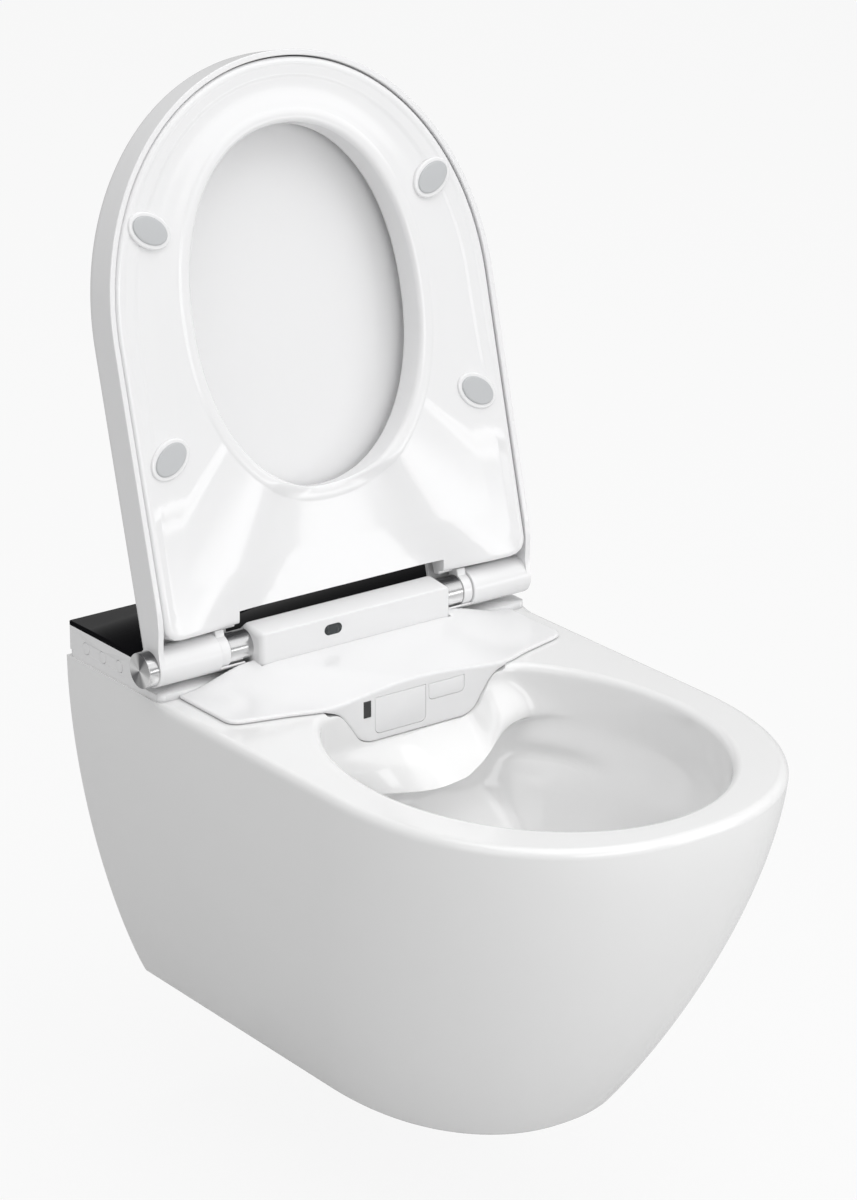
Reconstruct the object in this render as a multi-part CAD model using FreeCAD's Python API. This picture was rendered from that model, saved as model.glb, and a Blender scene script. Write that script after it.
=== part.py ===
import FreeCAD, Part
import os
import math

# Wall-hung smart toilet with a heated seat.
# Millimetres. The origin is midway between the two wall studs on the wall plane: +X to the
# user's right when facing the toilet, -Y out of the wall, +Z up.
# Lid and seat are modelled closed, and turned open about the hinge line before they are written.

V = FreeCAD.Vector
X_AXIS = V(1, 0, 0)
Y_AXIS = V(0, 1, 0)
Z_AXIS = V(0, 0, 1)

# ---------------------------------------------------------------- overall sizes
body_width = 379.0
body_length = 600.0
body_height = 315.0
deck_z = 100.0              # deck above the line of the wall studs
foot_width = 234.0
foot_length = 439.0
front_power = 2.244         # squareness of the front curve of the body
straight_share = 0.625      # share of a section's length that has straight sides

# ---------------------------------------------------------------- ceramic walls and plumbing
skirt_wall = 11.0
deck_wall = 22.0
bowl_wall = 10.0
floor_wall = 10.0
rim_round = 8.0
foot_round = 5.0
rim_side = 40.5             # rim from the body's side to the bowl opening
rim_front = 35.0
opening_mid_y = -385.0      # widest place of the bowl opening
opening_rear_y = -193.0     # where the opening would end behind the console
bowl_depth = 283.0
bowl_shift = 19.0           # how far the bowl's middle moves back on its way down
tongue_width = 55.0
tongue_reach = 62.0
tongue_flank = 45.0
edge_softness = 6.0

stud_spacing = 180.0
stud_hole_radius = 10.0
stud_bore_radius = 6.25
stud_radius = 6.0
nut_radius = 11.0           # to the corners
nut_height = 10.0
collar_radius = 16.0
collar_thickness = 3.0
stud_boss_width = 62.0
stud_boss_height = 60.0
stud_boss_depth = 46.0
inlet_above_studs = 35.0
outlet_below_studs = 100.0
inlet_bore_radius = 27.5
inlet_bore_length = 46.0
flush_pipe_radius = 22.5
flush_seal_length = 24.0
duct_radius = 22.0
pipe_wall = 9.0
outlet_radius = 51.0
outlet_bore_radius = 43.0
outlet_length = 62.0
trap_radius = 27.0
bend_radius = 42.0
flush_run_out = 40.0        # how far the flush bore runs on into the bowl
wall_step = 1.0             # pipe ends stay behind the wall line by this much

# ---------------------------------------------------------------- rear pocket for the unit
pocket_half_width = 128.0
pocket_front_y = -228.0
pocket_step_y = -98.0
pocket_rear_y = -42.0
pocket_depth = 42.0
pocket_shallow_depth = 24.0
pocket_wall = 8.0
service_hole_radius = 14.0
service_hole_x = 100.0
service_hole_y = -24.0
service_hole_depth = 44.0
service_slot_width = 20.0
fixing_hole_radius = 7.0
fixing_hole_x = 153.0
fixing_hole_y = -62.0

# ---------------------------------------------------------------- the unit on the deck
unit_half_width = 188.0
unit_front_y = -140.0
unit_rear_y = -1.5
tray_height = 6.0
tray_round = 6.0
tub_front_gap = 6.0
plastic_wall = 2.5
fit_gap = 0.8
housing_front_y = -109.0
housing_round = 3.0
glass_top = 30.5
glass_thickness = 3.0
box_half_width = 97.0
box_front_y = -154.0
box_front_height = 43.0
box_rear_y = -127.0
box_rear_height = 46.0
box_foot_height = 8.0
cover_half_width = 170.0
cover_side_y = -206.0
cover_wall = 3.0
console_y = -238.0
console_half_top = 92.0
console_half_foot = 52.0
console_depth = 36.0
cover_edge_height = 4.0
cover_nose_height = 11.0
cover_box_height = 18.5

# ---------------------------------------------------------------- console flaps and wand
nozzle_flap_width = 51.0
nozzle_flap_height = 31.5
nozzle_flap_x = -17.5
nozzle_flap_top = 2.0
dryer_flap_width = 36.0
dryer_flap_height = 14.0
dryer_flap_x = 29.5
dryer_flap_top = 1.5
flap_thickness = 2.0
flap_gap = 0.6
flap_bead_radius = 1.6
flap_pin_radius = 0.7
flap_pin_clearance = 0.05
flap_pin_reach = 1.0
window_x = -51.0
window_width = 7.5
window_height = 14.5
window_top = 1.0
wand_radius = 5.5
wand_length = 150.0
wand_tilt = 10.0
wand_exit_height = -22.0
wand_park = 44.0
wand_running_gap = 0.06
nozzle_length = 16.0
pinion_radius = 7.0
pinion_width = 8.0

# ---------------------------------------------------------------- side buttons
button_radius = 5.0
button_gap = 0.3
button_pitch = 25.4
button_first_y = -28.7
button_height = 13.6
button_length = 3.2

# ---------------------------------------------------------------- inner pieces
# cases: x from, x to, y from, y to
heater_case = (18.0, 118.0, -92.0, -50.0)
inlet_valve_case = (-122.0, -84.0, -88.0, -52.0)
filter_case = (-120.0, -82.0, -208.0, -186.0)
supply_case = (-176.0, -130.0, -101.0, -40.0)
board_area = (124.0, 182.0, -104.0, -74.0)
distributor_x = -62.0
distributor_y = -150.0
distributor_radius = 13.0
port_radius = 3.5
blower_x = 88.0
blower_y = -160.0
blower_radius = 31.0
blower_wall = 2.0
blower_low = -36.0          # under the deck
blower_high = -6.0
eye_radius = 14.0
impeller_radius = 24.0
impeller_height = 9.0
impeller_blades = 18
motor_shaft_radius = 1.5
motor_can_radius = 9.0
duct_wall = 1.2
heater_fins = 10
fan_x = -101.0
fan_height = -20.0
fan_rear_y = -172.0
fan_depth = 12.0
fan_bore_radius = 13.5
fan_blades = 7
stem_depth = 34.0           # inlet and cable stems below the deck
bolt_radius = 4.0
bolt_head_radius = 7.0
bolt_head_height = 4.0

# ---------------------------------------------------------------- hinge line
hinge_y = -129.0
hinge_height = 28.0
open_angle = 104.2
axle_radius = 4.0
axle_overlap = 37.0         # how far the axles reach into the centre housing
seat_damper_radius = 9.5
running_gap = 0.05
barrel_radius = 16.5
barrel_bore = 11.0
barrel_inner_x = 129.0
damper_length = 50.0
knuckle_radius = 14.4
knuckle_inner_x = 119.5
sleeve_radius = 13.4
cap_radius = 15.0
cap_length = 10.0
plug_radius = 12.0          # flat plug in the right end of the hinge line
plug_depth = 2.4
side_gap = 0.6
band_wall = 1.6
band_under_angle = 35.0
step_in = 0.1               # small step between the barrel and the lid's outer faces

# ---------------------------------------------------------------- lid and seat, closed
lid_half_width = 190.0
lid_front = 475.5           # from the hinge line to the front tip
curve_start = 262.0         # from the hinge line to where the front curve starts
lid_wall = 5.0
lid_top_wall = 3.0
lid_rim_drop = 25.0         # rim below the hinge line
lid_round = 15.0
lid_cut_back = 35.0
seat_gap = 0.9
seat_rear = 19.5
seat_centre_rear = 31.0
seat_drop = 24.5
seat_split = 2.0            # joint line of the two seat shells below the hinge line
seat_rise = 6.0
seat_round = 7.0
seat_wall = 3.0
seat_opening_half_width = 111.0
seat_opening_rear = 116.0
seat_opening_front = 416.0
seat_corner = 15.0
neck_inner_x = 104.5
bumper_length = 34.0
bumper_width = 22.0
bumper_front = (141.0, 350.0)
bumper_rear = (155.0, 166.0)
bumper_clearance = 0.3
lid_bumper_radius = 6.0
lid_bumper_places = ((132.0, 150.0), (104.0, 412.0))
seat_edge = 3.0             # round of the seat's lower edge
hole_round = 7.0            # round of the opening's upper edge
neck_rear = 16.5            # rear end of the seat's necks before the hinge line
recess_depth = 6.5          # roof of the hollow under the seat's rear, below the hinge line
recess_mid_depth = 15.0
recess_reach = 60.0
recess_side = 9.0

# ---------------------------------------------------------------- worked-out values
half_width = body_width / 2
half_foot = foot_width / 2
body_bottom = deck_z - body_height
hinge_z = deck_z + hinge_height
cap_face_x = lid_half_width + cap_length
opening_half_width = half_width - rim_side
opening_front_y = -(body_length - rim_front)
glass_bottom = deck_z + glass_top - glass_thickness
tray_top = deck_z + tray_height
wand_slope = math.radians(wand_tilt)
wand_dir = V(0, -math.cos(wand_slope), -math.sin(wand_slope))
box_inner = box_half_width - plastic_wall
seat_half_width = lid_half_width - lid_wall - seat_gap
seat_front = lid_front - lid_wall - seat_gap
seat_floor_z = hinge_z - seat_drop


# ---------------------------------------------------------------- shape helpers
def box(x0, x1, y0, y1, z0, z1):
    return Part.makeBox(x1 - x0, y1 - y0, z1 - z0, V(x0, y0, z0))


def rod(x, y, z, radius, length, direction):
    return Part.makeCylinder(radius, length, V(x, y, z), direction)


def tube(x, y, z, outer, inner, length, direction):
    return rod(x, y, z, outer, length, direction).cut(rod(x, y, z, inner, length, direction))


def prism_x(points, x0, x1):
    """A solid whose outline is drawn in Y and Z, from x0 to x1."""
    corners = [V(x0, y, z) for y, z in points]
    return Part.Face(Part.makePolygon(corners + corners[:1])).extrude(V(x1 - x0, 0, 0))


def rounded_plate(x0, x1, y0, y1, z0, z1, radius):
    plate = box(x0, x1, y0, y1, z0, z1)
    upright = [e for e in plate.Edges if abs(e.tangentAt(e.FirstParameter).z) > 0.9]
    return plate.makeFillet(radius, upright)


def spline(points, start=None, end=None):
    """A smooth curve through the points; start and end are its directions at the two ends."""
    curve = Part.BSplineCurve()
    if start is None:
        curve.interpolate(points)
    else:
        directions = [V(1, 0, 0) for _ in points]
        directions[0] = V(start).normalize()
        directions[-1] = V(end).normalize()
        held = [False for _ in points]
        held[0] = held[-1] = True
        curve.interpolate(Points=points, Tangents=directions, TangentFlags=held, Scale=False)
    return curve.toShape()


def closed_spline_wire(points):
    curve = Part.BSplineCurve()
    curve.interpolate(points, PeriodicFlag=True)
    return Part.Wire([curve.toShape()])


def signed_power(value, power):
    return math.copysign(abs(value) ** power, value)


def d_wire(half, y_rear, y_mid, y_front, z, power=2.0, corner=0.0):
    """A D in plan: straight back, straight sides and a superelliptic front."""
    steps = 12
    share = 2 / power
    front = []
    for i in range(steps + 1):
        turn = math.pi * (i / steps - 0.5)
        x = half * signed_power(math.sin(turn), share)
        y = y_mid - (y_mid - y_front) * abs(math.cos(turn)) ** share
        front.append(V(x, y, z))
    front[0] = V(-half, y_mid, z)
    front[-1] = V(half, y_mid, z)
    edges = [spline(front, V(0, -1, 0), V(0, 1, 0))]
    rear_y = y_rear - corner
    edges.append(Part.makeLine(front[-1], V(half, rear_y, z)))
    if corner:
        edges.append(corner_arc(V(half, y_rear, z), -1, corner))
    edges.append(Part.makeLine(V(half - corner, y_rear, z), V(corner - half, y_rear, z)))
    if corner:
        edges.append(corner_arc(V(-half, y_rear, z), 1, corner))
    edges.append(Part.makeLine(V(-half, rear_y, z), front[0]))
    return Part.Wire(edges)


def corner_arc(corner, inward, radius):
    centre = corner + V(inward * radius, -radius, 0)
    reach = radius * math.sqrt(0.5)
    middle = centre + V(-inward * reach, reach, 0)
    start = centre + V(-inward * radius, 0, 0)
    end = centre + V(0, radius, 0)
    if inward > 0:
        start, end = end, start
    return Part.Arc(start, middle, end).toShape()


def loft(wires, ruled=False):
    return Part.makeLoft(wires, True, ruled)


def round_insets(radius, steps=4):
    """Height below the top and inset from the side along a quarter round."""
    rows = []
    for i in range(steps + 1):
        turn = math.pi / 2 * i / steps
        rows.append((radius * (1 - math.sin(turn)), radius * (1 - math.cos(turn))))
    return rows


def pipe(points, radius):
    """A round bar along straight runs that are joined by tangent arcs."""
    edges = []
    start = points[0]
    for i in range(1, len(points) - 1):
        before = (points[i] - points[i - 1]).normalize()
        after = (points[i + 1] - points[i]).normalize()
        turn = before.getAngle(after)
        back = bend_radius * math.tan(turn / 2)
        arc_start = points[i] - before * back
        arc_end = points[i] + after * back
        inner = (after - before).normalize()
        centre = points[i] + inner * (bend_radius / math.cos(turn / 2))
        edges.append(Part.makeLine(start, arc_start))
        edges.append(Part.Arc(arc_start, centre - inner * bend_radius, arc_end).toShape())
        start = arc_end
    edges.append(Part.makeLine(start, points[-1]))
    section = Part.Wire([Part.makeCircle(radius, points[0], points[1] - points[0])])
    return Part.Wire(edges).makePipeShell([section], True, True)


def egg_wire(half, y_mid, y_front, y_rear, z, steps=28):
    points = []
    for i in range(steps):
        turn = 2 * math.pi * i / steps
        reach = y_mid - y_front if math.cos(turn) > 0 else y_rear - y_mid
        points.append(V(half * math.sin(turn), y_mid - reach * math.cos(turn), z))
    return closed_spline_wire(points)


def opened(shape):
    """Turns a piece from the closed place to the open place about the hinge line."""
    turned = shape.copy()
    turned.rotate(V(0, hinge_y, hinge_z), X_AXIS, -open_angle)
    return turned


def both_sides(make):
    left = make()
    return Part.makeCompound([left, left.mirror(V(0, 0, 0), X_AXIS)])


def save(name, shape):
    if shape.ShapeType == "Compound" and len(shape.Solids) == 1:
        shape = shape.Solids[0]
    if not shape.isValid():
        print("not valid:", name)
    shape.exportStep("parts/" + name + ".step")
    print(name, len(shape.Solids), round(shape.Volume / 1000, 1), "cm3")


# ---------------------------------------------------------------- ceramic body
def body_half_width(depth, inset=0.0):
    share = min(depth / body_height, 1.0)
    return half_foot + (half_width - half_foot) * (1 - share ** 1.8) ** 0.9 - inset


def body_front(depth, inset=0.0):
    share = min(depth / body_height, 1.0)
    return -(foot_length + (body_length - foot_length) * (1 - share ** 1.45) ** 0.95) + inset


def body_wire(depth, inset=0.0, rear=0.0):
    front = body_front(depth, inset)
    middle = body_front(depth) * straight_share
    half = body_half_width(depth, inset)
    return d_wire(half, rear, middle, front, deck_z - depth, front_power)


def body_outer():
    low = body_height - foot_round
    depths = [rim_round + (low - rim_round) * share for share in (0, 0.15, 0.33, 0.5, 0.66, 0.8, 0.91, 1)]
    skirt = loft([body_wire(d) for d in depths])
    top = loft([body_wire(d, inset) for d, inset in round_insets(rim_round)])
    foot = []
    for rise, inset in round_insets(foot_round, 3):
        foot.append(body_wire(body_height - rise, inset))
    square_rear = loft([body_wire(0.0), body_wire(rim_round)])
    under_unit = box(-body_width, body_width, unit_front_y, 1, deck_z - rim_round, deck_z)
    rear_part = square_rear.common(under_unit)
    return skirt.fuse([top, loft(foot), rear_part])


def body_hollow():
    """The space between skirt and bowl, open at the wall."""
    depths = [deck_wall, 90.0, 160.0, 220.0, 270.0, body_height - floor_wall]
    return loft([body_wire(d, skirt_wall, 1.0) for d in depths])


def tongue_limit(depth, x):
    """How far back the bowl reaches at a depth, in front of the console and its ramp."""
    below = max(depth - console_depth - 1, 0.0)
    middle = console_y - tongue_reach * (1 - math.exp(-below / 38.0))
    flank = tongue_flank * min(below / 40.0, 1.0)
    return middle + flank * (1 - math.exp(-((x / tongue_width) ** 2)))


BOWL_ROWS = (
    # share of depth, share of width, share of length
    (0.025, 1.0, 1.0),
    (0.10, 0.995, 0.997),
    (0.175, 0.985, 0.985),
    (0.235, 0.945, 0.95),
    (0.30, 0.885, 0.90),
    (0.40, 0.80, 0.83),
    (0.55, 0.635, 0.68),
    (0.70, 0.45, 0.50),
    (0.85, 0.29, 0.34),
    (1.0, 0.20, 0.22),
)


def bowl_wire(share, width, length, grow=0.0, steps=36):
    depth = bowl_depth * share
    middle = opening_mid_y + bowl_shift * share
    half = opening_half_width * width + grow
    front = (opening_mid_y - opening_front_y) * length + grow
    rear = (opening_rear_y - opening_mid_y) * length + grow
    points = []
    for i in range(steps):
        turn = 2 * math.pi * i / steps
        x = half * math.sin(turn)
        y = middle - (front if math.cos(turn) > 0 else rear) * math.cos(turn)
        limit = tongue_limit(depth, x) + grow
        apart = abs(y - limit) / edge_softness
        y = min(y, limit) - edge_softness * math.log(1 + math.exp(-apart))
        points.append(V(x, y, deck_z - depth - grow * 0.4))
    return closed_spline_wire(points)


def bowl_space():
    bowl = loft([bowl_wire(*row) for row in BOWL_ROWS])
    first = BOWL_ROWS[0]
    mouth_round = bowl_depth * first[0]
    mouth = []
    for drop, flare in round_insets(mouth_round):
        wire = bowl_wire(*first, flare)
        wire.translate(V(0, 0, mouth_round - drop + flare * 0.4))
        mouth.append(wire)
    return bowl.fuse(loft(mouth))


def bowl_outer():
    """The bowl with its wall, and a collar that reaches up into the deck."""
    rows = BOWL_ROWS[1:]
    collar_height = bowl_depth * rows[0][0] - deck_wall / 2
    collar = Part.Face(bowl_wire(*rows[0], bowl_wall)).extrude(V(0, 0, collar_height))
    return loft([bowl_wire(*row, bowl_wall) for row in rows]).fuse(collar)


def trap_points():
    outlet_z = -outlet_below_studs
    sump_z = deck_z - bowl_depth + trap_radius + 2
    weir_z = outlet_z + 35
    return [
        V(0, opening_mid_y + bowl_shift + 8, sump_z),
        V(0, -262, sump_z),
        V(0, -205, weir_z),
        V(0, -152, weir_z),
        V(0, -100, outlet_z),
        V(0, 0, outlet_z),
    ]


def flush_points():
    inlet_z = inlet_above_studs
    low_z = deck_z - bowl_depth * 0.29
    return [
        V(0, 0, inlet_z),
        V(0, -62, inlet_z),
        V(92, -140, low_z),
        V(95, -255, low_z),
    ]


def pocket_shape(grow, side_gap_in=0.0):
    half = pocket_half_width + grow - side_gap_in
    front = pocket_front_y - grow + side_gap_in
    step = pocket_step_y + grow - side_gap_in
    rear = pocket_rear_y + grow - side_gap_in
    deep = deck_z - pocket_depth - grow + side_gap_in
    shallow = deck_z - pocket_shallow_depth - grow + side_gap_in
    well = box(-half, half, front, step, deep, deck_z)
    shelf = box(-half, half, step - 1, rear, shallow, deck_z)
    return well.fuse(shelf).removeSplitter()


def console_outline(grow=0.0):
    """The console's outline seen from the front: narrow foot, sides that flare to the deck."""
    foot = deck_z - console_depth - grow
    side = [
        V(console_half_foot + grow, 0, foot),
        V(console_half_foot + 13 + grow, 0, foot + 5),
        V(console_half_foot + 21 + grow, 0, foot + 18),
        V(console_half_top - 10 + grow, 0, deck_z - 5 - grow),
        V(console_half_top + 3 * grow, 0, deck_z),
    ]
    right = spline(side, V(1, 0, 0), V(1, 0, 0.25))
    mirrored = [V(-p.x, 0, p.z) for p in reversed(side)]
    left = spline(mirrored, V(1, 0, -0.25), V(1, 0, 0))
    top = deck_z + 1
    ring = [
        Part.makeLine(mirrored[-1], side[0]),
        right,
        Part.makeLine(side[-1], V(side[-1].x, 0, top)),
        Part.makeLine(V(side[-1].x, 0, top), V(mirrored[0].x, 0, top)),
        Part.makeLine(V(mirrored[0].x, 0, top), mirrored[0]),
        left,
    ]
    return Part.Face(Part.Wire(ring))


def console_cut():
    face = console_outline(fit_gap)
    face.translate(V(0, console_y - 12, 0))
    return face.extrude(V(0, 30, 0))


def in_front_of_wall():
    """The space inside the body's outline in which bowl and pipes end."""
    room = box(-body_width, body_width, -2 * body_length, -wall_step, body_bottom, deck_z)
    return body_outer().common(room)


def inlet_boss():
    radius = inlet_bore_radius + pipe_wall
    return rod(0, -wall_step, inlet_above_studs, radius, inlet_bore_length + 8, V(0, -1, 0))


def outlet_spigot():
    return rod(0, -wall_step, -outlet_below_studs, outlet_radius, outlet_length, V(0, -1, 0))


def boss_blocks():
    half = stud_boss_width / 2
    low = -stud_boss_height / 2
    blocks = []
    for side in (-1, 1):
        x = side * stud_spacing / 2
        blocks.append(box(x - half, x + half, -stud_boss_depth, 0, low, deck_z - deck_wall))
    return blocks


def bores():
    """The waterways, in the order flush, inlet, trap and outlet."""
    flush = flush_points()
    flush[-1] = V(flush[-1].x, flush[-1].y - flush_run_out, flush[-1].z)
    outlet_bore = outlet_length - pipe_wall * 2 / 3
    return [
        pipe(flush, duct_radius),
        rod(0, 1, inlet_above_studs, inlet_bore_radius, inlet_bore_length, V(0, -1, 0)),
        pipe(trap_points(), trap_radius),
        rod(0, 1, -outlet_below_studs, outlet_bore_radius, outlet_bore, V(0, -1, 0)),
    ]


def fixing_holes():
    holes = []
    low = deck_z - service_hole_depth
    half = service_slot_width / 2
    under_deck = deck_z - deck_wall - 1
    for side in (-1, 1):
        x = side * service_hole_x
        holes.append(rod(x, service_hole_y, low, service_hole_radius, service_hole_depth + 1, Z_AXIS))
        holes.append(box(x - half, x + half, service_hole_y, 1, low, deck_z - deck_wall))
        x = side * fixing_hole_x
        holes.append(rod(x, fixing_hole_y, under_deck, fixing_hole_radius, deck_wall + 2, Z_AXIS))
        x = side * stud_spacing / 2
        holes.append(rod(x, 1, 0, stud_hole_radius, stud_boss_depth + 2, V(0, -1, 0)))
    return holes


def whole_ceramic():
    shell = body_outer().cut(body_hollow())
    inside = in_front_of_wall()
    added = [
        bowl_outer(),
        pocket_shape(pocket_wall),
        pipe(trap_points(), trap_radius + pipe_wall),
        pipe(flush_points(), duct_radius + pipe_wall),
        inlet_boss(),
        outlet_spigot(),
    ]
    solid = shell.fuse([part.common(inside) for part in added] + boss_blocks())
    return solid.cut([bowl_space(), pocket_shape(0.0), console_cut()] + bores() + fixing_holes())


def deck_room():
    """Where the deck node reaches: the slab above the hollow, and round the pocket's walls."""
    ceiling = deck_z - deck_wall
    slab = box(-body_width, body_width, -2 * body_length, 1, ceiling, deck_z + 1)
    half = pocket_half_width + pocket_wall + 1
    front = pocket_front_y - pocket_wall - 1
    step = pocket_step_y + pocket_wall + 1
    rear = pocket_rear_y + pocket_wall + 1
    deep = deck_z - pocket_depth - pocket_wall
    shallow = deck_z - pocket_shallow_depth - pocket_wall
    well = box(-half, half, front, step, deep, ceiling)
    shelf = box(-half, half, step, rear, shallow, ceiling)
    return [slab, well, shelf]


def ceramic_pieces():
    """The one fired piece as six plain solids that meet face to face."""
    whole = whole_ceramic()
    deck = deck_room()
    blocks = boss_blocks()
    below = whole.cut(deck + blocks)
    core = min(below.Solids, key=lambda solid: solid.BoundBox.XLength)
    skirt = max(below.Solids, key=lambda solid: solid.BoundBox.XLength)
    line_y = pocket_front_y - 1
    trap_top = max(point.z for point in trap_points()[2:]) + trap_radius + pipe_wall
    duct_low = flush_points()[-1].z - duct_radius - pipe_wall
    line_z = (trap_top + duct_low) / 2
    side = body_width
    front_room = box(-side, side, -2 * body_length, line_y, body_bottom, deck_z)
    low_room = box(-side, side, line_y, 1, body_bottom, line_z)
    high_room = box(-side, side, line_y, 1, line_z, deck_z)
    return {
        "ceramic_deck": whole.common(deck[0].fuse(deck[1:])),
        "ceramic_skirt": skirt,
        "ceramic_bowl": core.common(front_room),
        "waste_trap": core.common(low_room),
        "flush_duct": core.common(high_room),
        "wall_bosses": whole.common(blocks[0].fuse(blocks[1])).cut(deck[1:]),
    }


# ---------------------------------------------------------------- plumbing and wall fixings
def flush_inlet_seal():
    return tube(
        0, -2, inlet_above_studs, inlet_bore_radius, flush_pipe_radius, flush_seal_length, V(0, -1, 0))


def wall_fixing_sleeves():
    def one():
        x = stud_spacing / 2
        body = tube(x, 0, 0, stud_hole_radius, stud_bore_radius, stud_boss_depth + 1, V(0, -1, 0))
        collar = tube(
            x, -stud_boss_depth, 0, collar_radius, stud_bore_radius, collar_thickness, V(0, -1, 0))
        return body.fuse(collar)
    return both_sides(one)


def wall_fixing_nuts():
    def one():
        points = []
        x = stud_spacing / 2
        face_y = -stud_boss_depth - collar_thickness
        for i in range(7):
            turn = math.pi / 3 * i
            points.append(V(x + nut_radius * math.cos(turn), face_y, nut_radius * math.sin(turn)))
        nut = Part.Face(Part.makePolygon(points)).extrude(V(0, -nut_height, 0))
        bore = rod(x, face_y + 1, 0, stud_radius, nut_height + 2, V(0, -1, 0))
        return nut.cut(bore)
    return both_sides(one)


# ---------------------------------------------------------------- tray, housing and glass
def base_tray():
    half = unit_half_width
    plate = rounded_plate(-half, half, unit_front_y, unit_rear_y, deck_z, tray_top, tray_round)
    front = pocket_front_y + tub_front_gap
    tub_outer = pocket_shape(0.0, fit_gap)
    tub_outer = tub_outer.cut(box(-body_width, body_width, pocket_front_y, front, 0, deck_z + 1))
    tub_inner = pocket_shape(0.0, fit_gap + plastic_wall)
    front = front + plastic_wall
    tub_inner = tub_inner.cut(box(-body_width, body_width, pocket_front_y, front, 0, deck_z + 1))
    tall = tub_inner.copy()
    tall.translate(V(0, 0, tray_height + 0.5))
    shoulders = []
    for side in (-1, 1):
        low, high = sorted((side * (box_half_width - 1), side * body_width))
        shoulders.append(box(low, high, unit_front_y, housing_front_y + 1, deck_z, tray_top))
    tray = plate.fuse(tub_outer).cut([tub_inner, tall.cut(shoulders)])
    cuts = []
    for side in (-1, 1):
        cuts.append(rod(side * service_hole_x, service_hole_y, deck_z - 1, service_hole_radius, 10, Z_AXIS))
        cuts.append(rod(side * fixing_hole_x, fixing_hole_y, deck_z - 1, 4.2, 10, Z_AXIS))
    # gap in the tub's front wall for the wand and the dryer duct
    gap_left = nozzle_flap_x - nozzle_flap_width / 2
    gap_right = dryer_flap_x + dryer_flap_width / 2 + 1
    cuts.append(box(gap_left, gap_right, pocket_front_y, pocket_front_y + 12, deck_z - 36, deck_z + 10))
    return tray.cut(cuts)


def button_places():
    return [button_first_y - button_pitch * i for i in range(3)]


def housing_shell():
    half = unit_half_width
    front, rear = housing_front_y, unit_rear_y
    outer = rounded_plate(-half, half, front, rear, tray_top, glass_bottom, housing_round)
    inner = rounded_plate(
        -half + plastic_wall, half - plastic_wall, front + plastic_wall, rear - plastic_wall,
        tray_top - 1, glass_bottom + 1, housing_round / 2)
    cuts = []
    z = deck_z + button_height
    for y in button_places():
        cuts.append(rod(-half - 1, y, z, button_radius + button_gap, plastic_wall + 2, X_AXIS))
    mouth = nozzle_flap_width / 2 - 9
    left, right = nozzle_flap_x - mouth, nozzle_flap_x + mouth
    cuts.append(box(left, right, front - 1, front + plastic_wall + 1, tray_top - 1, glass_bottom - 3))
    return outer.cut([inner] + cuts)


def glass_panel():
    half = unit_half_width
    top = deck_z + glass_top
    return rounded_plate(-half, half, housing_front_y, unit_rear_y, glass_bottom, top, housing_round)


def box_profile(inset):
    return [
        (box_front_y + inset, deck_z + box_foot_height),
        (box_front_y + inset, deck_z + box_front_height - inset),
        (box_rear_y, deck_z + box_rear_height - inset),
        (housing_front_y - 0.3 - inset, deck_z + glass_top - inset),
        (housing_front_y - 0.3 - inset, deck_z + box_foot_height),
    ]


def centre_housing():
    outer = prism_x(box_profile(0.0), -box_half_width, box_half_width)
    above_foot = deck_z + box_foot_height + 5
    long_edges = [e for e in outer.Edges if e.BoundBox.XLength > box_half_width]
    soft = [e for e in long_edges if e.CenterOfMass.z > above_foot]
    outer = outer.makeFillet(1.2, soft)
    inner = prism_x(box_profile(plastic_wall), -box_inner, box_inner)
    inner.translate(V(0, 0, -0.5))
    shell = outer.cut(inner)
    axle = rod(-box_half_width - 1, hinge_y, hinge_z, axle_radius, 2 * box_half_width + 2, X_AXIS)
    mouth = nozzle_flap_width / 2 - 9
    wand_gap = box(
        nozzle_flap_x - mouth, nozzle_flap_x + mouth, housing_front_y - 4, housing_front_y + 1,
        deck_z + box_foot_height - 1, glass_bottom - 3)
    return shell.cut([axle, lens_shape(0.0), wand_gap])


def lens_shape(gap):
    """A flat-sided oval through the centre housing's front wall."""
    x, z, half, radius = -25.0, deck_z + 32.6, 4.2, 4.6 - gap
    y0 = box_front_y - 0.2
    depth = plastic_wall + 0.2
    middle = box(x - half, x + half, y0, y0 + depth, z - radius, z + radius)
    ends = [rod(x + s * half, y0, z, radius, depth, Y_AXIS) for s in (-1, 1)]
    return middle.fuse(ends).removeSplitter()


def cover_top(x, y):
    """Height of the front cover over the deck: level before the box, and down to a thin edge."""
    back = (y - console_y) / (unit_front_y - console_y)
    crown = cover_nose_height + (cover_box_height - cover_nose_height) * back
    back = max(back, 0.0)
    level = box_half_width * back
    spread = console_half_top + 4 + (cover_half_width - console_half_top - 4) * back
    share = min(max(abs(x) - level, 0.0) / (spread - level), 1.0)
    fall = math.cos(share * math.pi / 2) ** 2
    return cover_edge_height + (crown - cover_edge_height) * fall


def cover_crown(drop):
    """A solid whose top is the crowned face, reaching well below the deck."""
    wires = []
    for y in (unit_front_y + 2, unit_front_y - 30, unit_front_y - 65, console_y - 6):
        points = []
        for i in range(-6, 7):
            x = (cover_half_width + 4) * i / 6
            points.append(V(x, y, deck_z + cover_top(x, y) - drop))
        top = spline(points)
        first, last = points[0], points[-1]
        low = deck_z - 20
        wires.append(Part.Wire([
            top,
            Part.makeLine(last, V(last.x, y, low)),
            Part.makeLine(V(last.x, y, low), V(first.x, y, low)),
            Part.makeLine(V(first.x, y, low), first),
        ]))
    return loft(wires)


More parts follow.
